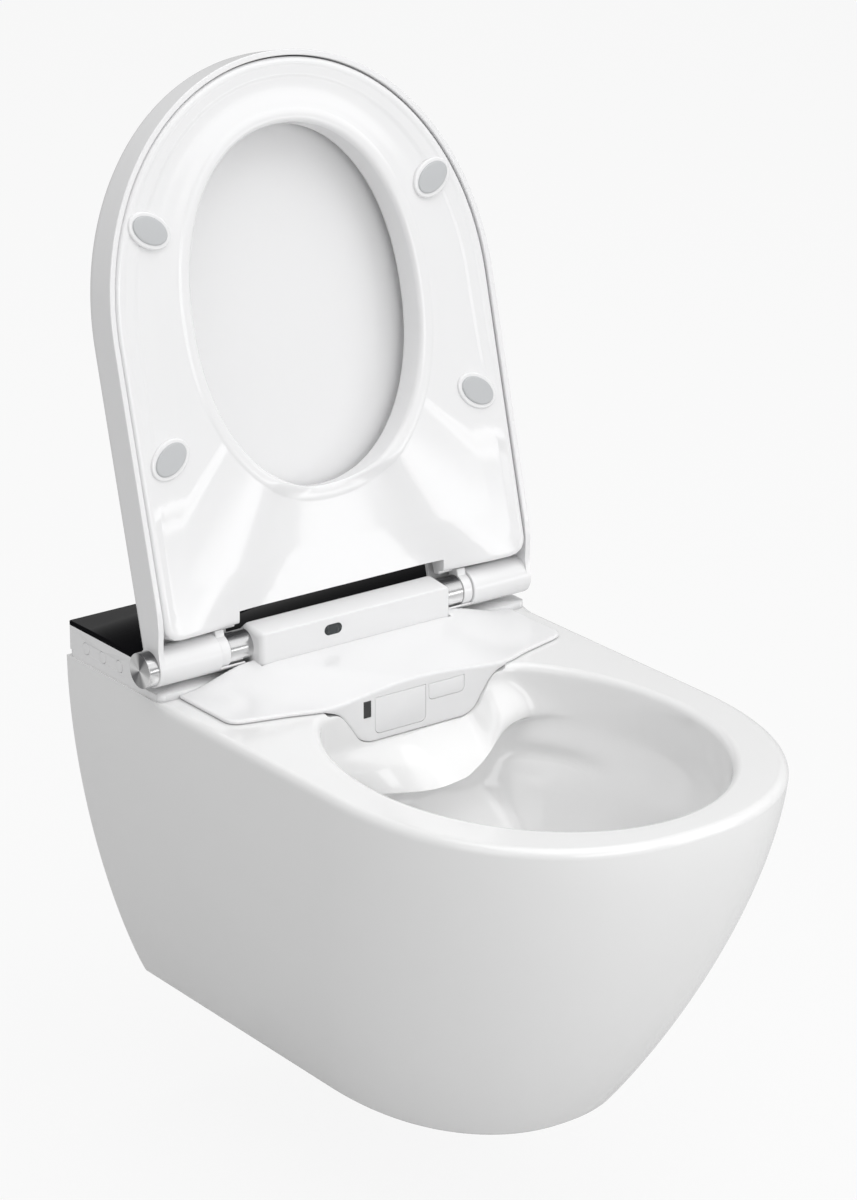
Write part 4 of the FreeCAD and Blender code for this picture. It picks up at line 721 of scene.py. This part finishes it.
def lid():
    """A wrap-over shell with a barrel at each end of the hinge line, built closed and then opened."""
    outer_rings = [lid_ring(inset, -25.0 + rise) for rise, inset in reversed(round_steps(1.0, 4))]
    outer_rings += [lid_ring(0.0, h) for h in (-18.0, -10.0, -4.0)]
    outer_rings += [lid_ring(inset, 16.5 - drop) for drop, inset in round_steps(15.0, 12)]
    shell = ring_shell("lid", outer_rings)
    inner_rings = [lid_ring(3.9, -30.0, 20.0)]
    inner_rings += [
        lid_ring(LID_WALL - inset, -25.0 + rise, 20.0) for rise, inset in reversed(round_steps(1.0, 4))]
    inner_rings += [lid_ring(LID_WALL, h, 20.0) for h in (-16.0, -6.0)]
    inner_rings += [lid_ring(LID_WALL + inset, 13.5 - drop, 20.0) for drop, inset in round_steps(11.0, 8)]
    inner = ring_shell("lid_inside", inner_rings)
    carve(shell, inner)
    outline = [
        (HINGE_Y + 5, HINGE_Z - 40), (HINGE_Y + 5, HINGE_Z - 16.5), (HINGE_Y, HINGE_Z - 16.5),
        (HINGE_Y - 14, HINGE_Z - 17.5), (HINGE_Y - 32, HINGE_Z - 23.0), (HINGE_Y - 48, HINGE_Z - 25.05),
        (HINGE_Y - 48, HINGE_Z - 40)]
    carve(shell, prism_x("rim_taper", outline, -200, 200))
    for side in (-1, 1):
        start = 129.0 if side > 0 else -189.9
        barrel = hinge_drum("barrel", start, BARREL_RADIUS, 60.9)
        carve(shell, rounded(barrel, 0.8, 3), "UNION")
        start = NECK_INNER if side > 0 else -129.0
        band = hinge_drum("band", start, BARREL_RADIUS + 0.05, 24.5)
        carve(band, hinge_drum("band_room", start - 5, BAND_BORE, 40))
        slope = math.radians(35.0)
        keep = [
            (HINGE_Y, HINGE_Z), (HINGE_Y + 40 * math.cos(slope), HINGE_Z - 40 * math.sin(slope)),
            (HINGE_Y + 40, HINGE_Z + 40), (HINGE_Y, HINGE_Z + 40)]
        carve(band, prism_x("band_keep", keep, start, start + 24.5), "INTERSECT")
        carve(shell, band, "UNION")
    carve(shell, block(
        "notch", -NECK_INNER, NECK_INNER, HINGE_Y - 35, HINGE_Y + 40, HINGE_Z - 40, HINGE_Z + 40))
    for side in (-1, 1):
        start = 104.0 if side > 0 else -129.0
        carve(shell, hinge_drum("knuckle_room", start, BAND_BORE, 25.0))
        start = 128.0 if side > 0 else -184.0
        carve(shell, hinge_drum("damper_room", start, 11.0, 56.0, 96))
        start = 182.0 if side > 0 else -192.0
        carve(shell, hinge_drum("axle_room", start, AXLE_BORE, 10.0, 48))
    carve(shell, hinge_drum("plug_room", 187.6, 12.0, 5.0, 96))
    clean(shell)
    smooth(shell, 32, even=True)
    opened(shell)
    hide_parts("lid_shell")
    finished(shell, "lid", WHITE)


# ------------------------------------------------------------------ seat
SEAT_COUNTS = (24, 40, 96)


def seat_outer(inset, height):
    return d_ring(
        SEAT_HALF - inset, HINGE_Y - SEAT_REAR - inset, HINGE_Y - LID_ROUND_START,
        HINGE_Y - SEAT_FRONT + inset, HINGE_Z + height, LID_POWER, SEAT_COUNTS, 15.0)


def seat_inner(grow, height):
    """The seat's opening, one point in the direction of each point of the outline."""
    turns = [math.atan2(x, y - (HINGE_Y - SEAT_MIDDLE)) for x, y, z in seat_outer(0.0, 0.0)]
    points = []
    for turn in turns:
        sine, cosine = math.sin(turn), math.cos(turn)
        half, reach = 111.0 + grow, 150.0 + grow
        power = 2.15
        scale = (abs(sine / half) ** power + abs(cosine / reach) ** power) ** (-1 / power)
        points.append((scale * sine, HINGE_Y - SEAT_MIDDLE + scale * cosine, HINGE_Z + height))
    return points


def seat_between(share, height):
    outer, inner = seat_outer(0.0, height), seat_inner(0.0, height)
    return [tuple(a + (b - a) * share for a, b in zip(p, q)) for p, q in zip(outer, inner)]


def under_lift(x, y):
    """How much the hollow under the seat's rear rises over the seat's lower face, to clear the cover."""
    along = 1 - soft_step((-242.0 - y) / 16.0)
    across = 1 - soft_step((abs(x) - 171.0) / 8.0)
    return (cover_top(x, max(y, CONSOLE_Y)) - 1.7) * along * across


def under_ring(points):
    """Moves a ring of the lower face up into the hollow, in proportion to its distance below the split."""
    lifted = []
    for x, y, z in points:
        share = (HINGE_Z + SEAT_SPLIT - z) / (SEAT_SPLIT - SEAT_FLOOR)
        lifted.append((x, y, z + under_lift(x, y) * max(share, 0.0)))
    return lifted


def under_band(distance, most, relief):
    """A ring of the lower face at a distance from the outer edge, at most a share of the way in."""
    points = []
    for p, q in zip(seat_outer(0.0, SEAT_FLOOR), seat_inner(0.0, SEAT_FLOOR)):
        share = min(distance / math.dist(p, q), most)
        x, y, z = (a + (b - a) * share for a, b in zip(p, q))
        points.append((x, y, z + relief * soft_step((HINGE_Y - 145.0 - y) / 60.0)))
    return points


def pad_places():
    """Where the seat's four pads are, and how far each long axis is turned."""
    places = []
    for x, reach in ((141.0, 350.0), (155.0, 166.0)):
        for side in (-1, 1):
            places.append((side * x, HINGE_Y - reach, math.atan2(SEAT_MIDDLE - reach, side * x)))
    return places


def oval(name, x, y, turn, long, wide, height, low, edge):
    """An upright oval drum with soft edges, its long axis turned."""
    shape = drum(name, 0, 0, 0, 1.0, 1.0, "Z", 64)
    shape.data.transform(Matrix.Diagonal((long, wide, height, 1)))
    rounded(shape, edge, 5)
    place = Matrix.Translation(Vector((x, y, HINGE_Z + low)) * MM)
    shape.data.transform(place @ Matrix.Rotation(turn, 4, "Z"))
    return shape


def seat():
    """Two shells: the lower one has soft bands, a bead round the opening and collars for the pads."""
    under = [seat_outer(inset, SEAT_FLOOR + rise) for rise, inset in round_steps(4.0, 5)]
    bands = (
        (6.0, 0.09, 0.0), (7.2, 0.11, 0.15), (8.6, 0.13, 0.7), (10.0, 0.15, 0.85), (17.0, 0.25, 1.0),
        (18.6, 0.28, 1.2), (20.4, 0.31, 2.0), (22.0, 0.34, 2.2), (32.0, 0.46, 2.3), (38.0, 0.54, 1.9),
        (46.0, 0.62, 1.0), (52.0, 0.70, 0.4))
    for distance, most, relief in bands:
        under.append(under_band(distance, most, relief))
    for inset, height in ((13.0, -24.3), (11.5, -24.8), (9.5, -25.3), (7.0, -25.4)):
        under.append(seat_inner(inset, height))
    for rise, inset in reversed(round_steps(5.0, 5)):
        under.append(seat_inner(inset, -25.3 + rise))
    under += [seat_inner(0.0, h) for h in (-12.0, SEAT_SPLIT)]
    under += [seat_outer(0.0, h) for h in (SEAT_SPLIT, -12.0)]
    lower = ring_shell("seat_under_shell", [under_ring(ring) for ring in under], closed=True)
    for x, y, turn in pad_places():
        carve(lower, oval("collar", x, y, turn, 20.5, 14.5, 5.0, -26.3, 1.6), "UNION")
    upper_rings = [seat_outer(0.0, h) for h in (SEAT_SPLIT, -1.0)]
    upper_rings += [seat_outer(inset, SEAT_TOP - drop) for drop, inset in round_steps(7.0, 6)]
    for share in (0.3, 0.5, 0.7):
        upper_rings.append(seat_between(share, SEAT_TOP - 1.5 * math.sin(math.pi * share)))
    upper_rings += [seat_inner(inset, SEAT_TOP - drop) for drop, inset in reversed(round_steps(7.0, 6))]
    upper_rings += [seat_inner(0.0, SEAT_SPLIT)]
    upper = ring_shell("seat_top", upper_rings, closed=True)

    for shell in (lower, upper):
        carve(shell, block(
            "rear_room", -NECK_INNER, NECK_INNER, HINGE_Y - 29.6, HINGE_Y + 40, HINGE_Z - 40, HINGE_Z + 40))
    for side in (-1, 1):
        low, high = sorted((side * NECK_INNER, side * KNUCKLE_OUTER))
        neck = soft_block(
            "neck", low, high, HINGE_Y - 37, HINGE_Y - 16.5, HINGE_Z - 1.9, HINGE_Z + 5.5, 1.0)
        carve(upper, neck, "UNION")
        low, high = sorted((side * KNUCKLE_INNER, side * KNUCKLE_OUTER))
        arm = soft_block("arm", low, high, HINGE_Y - 18, HINGE_Y, HINGE_Z - 8.0, HINGE_Z + 5.5, 1.0)
        carve(upper, arm, "UNION")
        knuckle = hinge_drum("knuckle", low, KNUCKLE_RADIUS, high - low)
        carve(upper, rounded(knuckle, 0.6, 2), "UNION")
    carve(upper, hinge_drum("axle_room", -150, AXLE_BORE, 300, 48))
    for piece, node in ((lower, "seat_bottom_shell"), (upper, "seat_top_shell")):
        clean(piece)
        smooth(piece, 32, even=True)
        opened(piece)
        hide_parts(node)
        finished(piece, "seat", SEAT_WHITE)


def seat_pads():
    """Domed oval pads, two each side."""
    pads = joined("seat_pads", *[
        oval("pad", x, y, turn, 17.0, 11.0, 3.2, -27.7, 1.5) for x, y, turn in pad_places()])
    smooth(pads, 60)
    opened(pads)
    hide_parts("seat_bumpers")
    finished(pads, "seat", PAD)


# ------------------------------------------------------------------ front cover with the console nose
COVER_EDGE = 4.0            # height of the cover's outer edge over the deck
COVER_RIGHT = ((60, -238), (92, -237.6), (122, -228), (158, -218.4), (167, -213.5), (170, -206))


def curve_through(points, steps):
    """Points on a smooth curve through the given ones, with a number of steps between each two."""
    curve = []
    for i in range(len(points) - 1):
        p0, p1 = points[max(i - 1, 0)], points[i]
        p2, p3 = points[i + 1], points[min(i + 2, len(points) - 1)]
        curve += [curve_point(p0, p1, p2, p3, k / steps) for k in range(steps)]
    curve.append(points[-1])
    return curve


def cover_top(x, y):
    """Height of the cover over the deck: highest before the housing, down to a thin edge."""
    back = (y - CONSOLE_Y) / 98.0
    crown = 11.0 + 7.5 * back
    back = max(back, 0.0)
    level = BOX_HALF * back
    share = min(max(abs(x) - level, 0.0) / (96.0 + 74.0 * back - level), 1.0)
    return COVER_EDGE + (crown - COVER_EDGE) * math.cos(share * math.pi / 2) ** 2


def cover_plan():
    """The cover's outline from above, as a closed ring of points."""
    half = [(60.0 * k / 12, CONSOLE_Y) for k in range(12)]
    half += curve_through([tuple(map(float, p)) for p in COVER_RIGHT], 8)
    half += [(170.0, -206.0 + 65.6 * k / 12) for k in range(1, 12)]
    half += [(170.0 * (1 - k / 40), -140.4) for k in range(41)]
    return half + [(-x, y) for x, y in reversed(half[1:-1])]


def cover_ring(distance, height):
    """The cover's outline moved inward by a distance."""
    points = []
    for x, y in cover_plan():
        way = Vector((0.62 * x, -176.0)) - Vector((x, y))
        spot = Vector((x, y)) + way.normalized() * distance
        points.append((spot.x, spot.y, height))
    return points


def cover_crown(drop):
    """A solid whose top is the crowned face, wider than the cover."""
    rings = []
    for i in range(33):
        y = -252.0 + 4.0 * i
        top = [(x, y, DECK + cover_top(x, y) - drop) for x in [-180.0 + 6.0 * k for k in range(61)]]
        rings.append(top + [(180.0, y, DECK - 20.0), (-180.0, y, DECK - 20.0)])
    return ring_shell("crown", rings)


def cover_dome(name, inset, drop, foot):
    """The cover without its nose, moved inward and down."""
    dome = ring_shell(name, [cover_ring(inset, foot), cover_ring(inset, DECK + 40.0)])
    return carve(dome, cover_crown(drop), "INTERSECT")


def console_solid():
    """The nose in front of the cover, with a soft edge round its face."""
    outline = console_outline()
    rings = []
    for behind, inset in ((6.0, 0.0), (1.4, 0.0), (0.4, 0.4), (0.0, 1.4)):
        y = CONSOLE_Y + behind
        ring = []
        for x, z in outline:
            top = DECK + cover_top(x, CONSOLE_Y)
            height = top - 0.3 if z > DECK + 0.5 else z
            ring.append((x * (1 - inset / 92.0), y, height + inset * (0.6 if z < DECK else -0.4)))
        rings.append(ring)
    return ring_shell("console", rings)


def box_ring(x, inset):
    """The centre housing's outline from the side, moved inward."""
    return [
        (x, -154.0 + inset, DECK + 8.0),
        (x, -154.0 + inset, DECK + 41.6 - inset),
        (x, -153.4 + inset, DECK + 42.8 - inset),
        (x, -152.0 + inset, DECK + 43.4 - inset),
        (x, -129.0, DECK + 45.9 - inset),
        (x, -127.4, DECK + 45.8 - inset),
        (x, -126.2, DECK + 45.0 - inset),
        (x, -109.3 - inset * 0.5, DECK + 30.6 - inset),
        (x, -109.3 - inset * 0.5, DECK + 8.0),
    ]


def centre_housing():
    rows = [(BOX_HALF - drop, inset) for inset, drop in round_steps(5.0, 7)]
    rings = [box_ring(-x, inset) for x, inset in rows] + [box_ring(x, inset) for x, inset in reversed(rows)]
    housing = ring_shell("centre_housing_made", rings)
    carve(housing, block("inner_room", -92, 92, -151, -105, 100, 128))
    clean(housing)
    smooth(housing, 35, even=True)
    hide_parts("centre_housing")
    finished(housing, "fixed", WHITE)


def flap_outline(x, width, top, height, corner, grow=0.0):
    """The front outline of a flap or its slot: square above, rounded corners below."""
    half = width / 2 + grow
    high, low = DECK + top + grow, DECK + top - height - grow
    radius = corner + grow
    points = [(x + half, high)]
    for k in range(9):
        turn = math.pi / 2 * k / 8
        points.append((x + half - radius * (1 - math.cos(turn)), low + radius * (1 - math.sin(turn))))
    for k in range(9):
        turn = math.pi / 2 * k / 8
        points.append((x - half + radius * (1 - math.sin(turn)), low + radius * (1 - math.cos(turn))))
    points.append((x - half, high))
    return points


# name, middle, width, top over the deck, height, corner radius
FLAPS = (
    ("nozzle_flap", -17.5, 51.0, 2.0, 31.5, 5.0),
    ("dryer_flap", 29.5, 36.0, 1.5, 14.0, 4.0),
)


def front_cover():
    """The cover is blended with its nose in small cells, then hollowed and slotted for the flaps."""
    cover = joined("cover", cover_dome("dome", 0.0, 0.0, DECK + 0.2), console_solid())
    modify(cover, "REMESH", mode="VOXEL", voxel_size=1.1 * MM)
    modify(cover, "SMOOTH", factor=0.5, iterations=14)
    carve(cover, cover_dome("cover_room", 6.0, 3.2, DECK - 4.0))
    carve(cover, block("nose_room", -50, 50, -234.6, -225, 50, DECK + 2))
    carve(cover, block("box_room", -97.3, 97.3, -154.3, -130, 80, 150))
    for start in (-220.0, 98.3):
        carve(cover, hinge_drum("barrel_room", start, 17.1, 121.7))
    for name, x, width, top, height, corner in FLAPS:
        carve(cover, slab_y("slot", flap_outline(x, width, top, height, corner, 0.35), -240.0, -230.0))
    carve(cover, block("window_room", -54.85, -47.15, -240, -230, 86.4, 101.1))
    clean(cover)
    smooth(cover, 40, even=True)
    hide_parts("front_cover")
    finished(cover, "fixed", WHITE)

    window = soft_block("console_window_made", -54.75, -47.25, -238.3, -235.0, 86.5, 101.0, 0.7)
    smooth(window, 40)
    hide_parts("console_window")
    finished(window, "fixed", WINDOW)

    for name, x, width, top, height, corner in FLAPS:
        outline = flap_outline(x, width, top - PIN_ROOM, height - PIN_ROOM, corner)
        flap = slab_y(name + "_made", outline, CONSOLE_Y, CONSOLE_Y + 2.0)
        modify(
            flap, "BEVEL", width=0.25 * MM, segments=2, limit_method="ANGLE",
            angle_limit=math.radians(60))
        pin_y, pin_z = CONSOLE_Y + PIN_ROOM, DECK + top - PIN_ROOM
        carve(flap, drum("bead", x - width / 2, pin_y, pin_z, PIN_ROOM, width, "X", 48), "UNION")
        carve(flap, drum("pin_room", x - width, pin_y, pin_z, 0.75, 2 * width, "X", 24))
        clean(flap)
        smooth(flap, 32)
        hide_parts(name)
        finished(flap, name, WHITE)


# ------------------------------------------------------------------ everything else keeps its built shape
def plain_pieces():
    """Node, the body it rides on, and its finish."""
    rows = (
        ("base_tray", "fixed", WHITE), ("housing_shell", "fixed", WHITE),
        ("glass_panel", "fixed", BLACK_GLASS), ("receiver_lens", "fixed", SMOKED),
        ("flap_pins", "fixed", STEEL), ("wash_wand", "wand", WHITE),
        ("nozzle_tip", "wand", GREY), ("wand_guide", "fixed", GREY),
        ("wand_pinion", "wand_pinion", BLACK), ("wand_motor", "fixed", STEEL),
        ("distributor_valve", "fixed", GREY), ("inlet_valve", "fixed", GREY),
        ("water_inlet_fitting", "fixed", BRASS), ("power_cable_gland", "fixed", BLACK),
        ("water_heater", "fixed", GREY), ("dryer_blower_housing", "fixed", BLACK),
        ("dryer_motor", "fixed", STEEL), ("dryer_impeller", "dryer_impeller", BLACK),
        ("dryer_duct", "fixed", GREY), ("dryer_heater", "fixed", STEEL),
        ("odour_filter", "fixed", FOAM), ("odour_fan_frame", "fixed", BLACK),
        ("odour_fan_impeller", "odour_fan", BLACK), ("control_board", "fixed", BOARD),
        ("power_supply", "fixed", BLACK), ("button_board", "fixed", BOARD),
        ("power_button", "power_button", WHITE), ("wash_button", "wash_button", WHITE),
        ("dry_button", "dry_button", WHITE), ("fixing_plugs", "fixed", BLACK_RUBBER),
        ("fixing_bolts", "fixed", STEEL), ("left_hinge_axle", "fixed", STEEL),
        ("right_hinge_axle", "fixed", STEEL), ("left_hinge_sleeve", "fixed", PAINTED_SECTOR_CHROME),
        ("right_hinge_sleeve", "fixed", PAINTED_SECTOR_CHROME), ("left_hinge_cap", "lid", PAINTED_SECTOR_CHROME),
        ("right_hinge_cap", "lid", CHROME), ("seat_dampers", "fixed", BLACK),
        ("lid_dampers", "lid", BLACK), ("lid_bumpers", "lid", PAD),
        ("seat_heating_foil", "seat", FOIL), ("flush_inlet_seal", "fixed", BLACK_RUBBER),
        ("wall_fixing_sleeves", "fixed", GREY), ("wall_fixing_nuts", "fixed", STEEL),
    )
    for node, body, material in rows:
        obj = merged_copy(node, node + "_made")
        finished(obj, body, material)


# ------------------------------------------------------------------ studio
def area_light(name, location, target, size, power):
    data = bpy.data.lights.new(name, "AREA")
    data.shape = "RECTANGLE"
    data.size, data.size_y = size
    data.energy = power
    light = bpy.data.objects.new(name, data)
    bpy.context.scene.collection.objects.link(light)
    light.location = location
    light.rotation_euler = (Vector(target) - Vector(location)).to_track_quat("-Z", "Y").to_euler()


def studio():
    deselect()
    bpy.ops.mesh.primitive_plane_add(size=14, location=(0, 0, -0.33))
    floor = named(bpy.context.object, "studio_floor")
    material, nodes, links = new_material("pale_floor")
    shader = nodes["Principled BSDF"]
    shader.inputs["Base Color"].default_value = (0.68, 0.68, 0.68, 1)
    shader.inputs["Roughness"].default_value = 0.9
    glow = nodes.new("ShaderNodeEmission")
    ray = nodes.new("ShaderNodeLightPath")
    part = nodes.new("ShaderNodeMath")
    part.operation = "MULTIPLY"
    part.inputs[1].default_value = 0.88
    mix = nodes.new("ShaderNodeMixShader")
    links.new(ray.outputs["Is Camera Ray"], part.inputs[0])
    links.new(part.outputs["Value"], mix.inputs["Fac"])
    links.new(shader.outputs["BSDF"], mix.inputs[1])
    links.new(glow.outputs["Emission"], mix.inputs[2])
    links.new(mix.outputs["Shader"], nodes["Material Output"].inputs["Surface"])
    floor.data.materials.append(material)

    world = bpy.data.worlds.new("studio")
    world.use_nodes = True
    bpy.context.scene.world = world
    nodes, links = world.node_tree.nodes, world.node_tree.links
    light = nodes["Background"]
    light.inputs["Color"].default_value = (1, 1, 1, 1)
    light.inputs["Strength"].default_value = 0.5
    seen = nodes.new("ShaderNodeBackground")
    seen.inputs["Color"].default_value = (1, 1, 1, 1)
    seen.inputs["Strength"].default_value = 1.0
    ray = nodes.new("ShaderNodeLightPath")
    mix = nodes.new("ShaderNodeMixShader")
    links.new(ray.outputs["Is Camera Ray"], mix.inputs["Fac"])
    links.new(light.outputs["Background"], mix.inputs[1])
    links.new(seen.outputs["Background"], mix.inputs[2])
    links.new(mix.outputs["Shader"], nodes["World Output"].inputs["Surface"])

    area_light("key", (3.0, -3.4, 3.5), (0, -0.3, 0.1), (4.2, 4.2), 66)
    area_light("top", (0.0, -0.9, 4.2), (0, -0.35, 0.1), (4.4, 4.4), 86)
    area_light("left_fill", (-2.6, -1.2, 1.4), (0, -0.3, 0.0), (1.4, 2.0), 7)
    area_light("front_fill", (-0.2, -2.0, 0.75), (0, -0.2, 0.15), (1.2, 0.7), 6)
    area_light("low_front", (1.7, -2.6, 0.1), (0, -0.2, 0.15), (1.4, 0.6), 7)


SENSOR = 36.0
FOCAL_PIXELS = 4218.7       # focal length in pixels of a picture 1200 pixels high
PICTURE_HEIGHT = 1200


def photographers_view():
    data = bpy.data.cameras.new("camera")
    camera = bpy.data.objects.new("camera", data)
    bpy.context.scene.collection.objects.link(camera)
    data.sensor_width = SENSOR
    data.lens = FOCAL_PIXELS / PICTURE_HEIGHT * SENSOR
    camera.location = (-1.911, -2.823, 1.3764)
    azimuth, pitch = math.radians(36.63), math.radians(20.45)
    forward = Vector((
        math.sin(azimuth) * math.cos(pitch), math.cos(azimuth) * math.cos(pitch), -math.sin(pitch)))
    camera.rotation_euler = forward.to_track_quat("-Z", "Y").to_euler()
    bpy.context.scene.camera = camera
    bpy.context.scene.view_settings.view_transform = "Standard"


photographers_view()
studio()
ceramic_body()
lid()
seat()
seat_pads()
front_cover()
centre_housing()
plain_pieces()
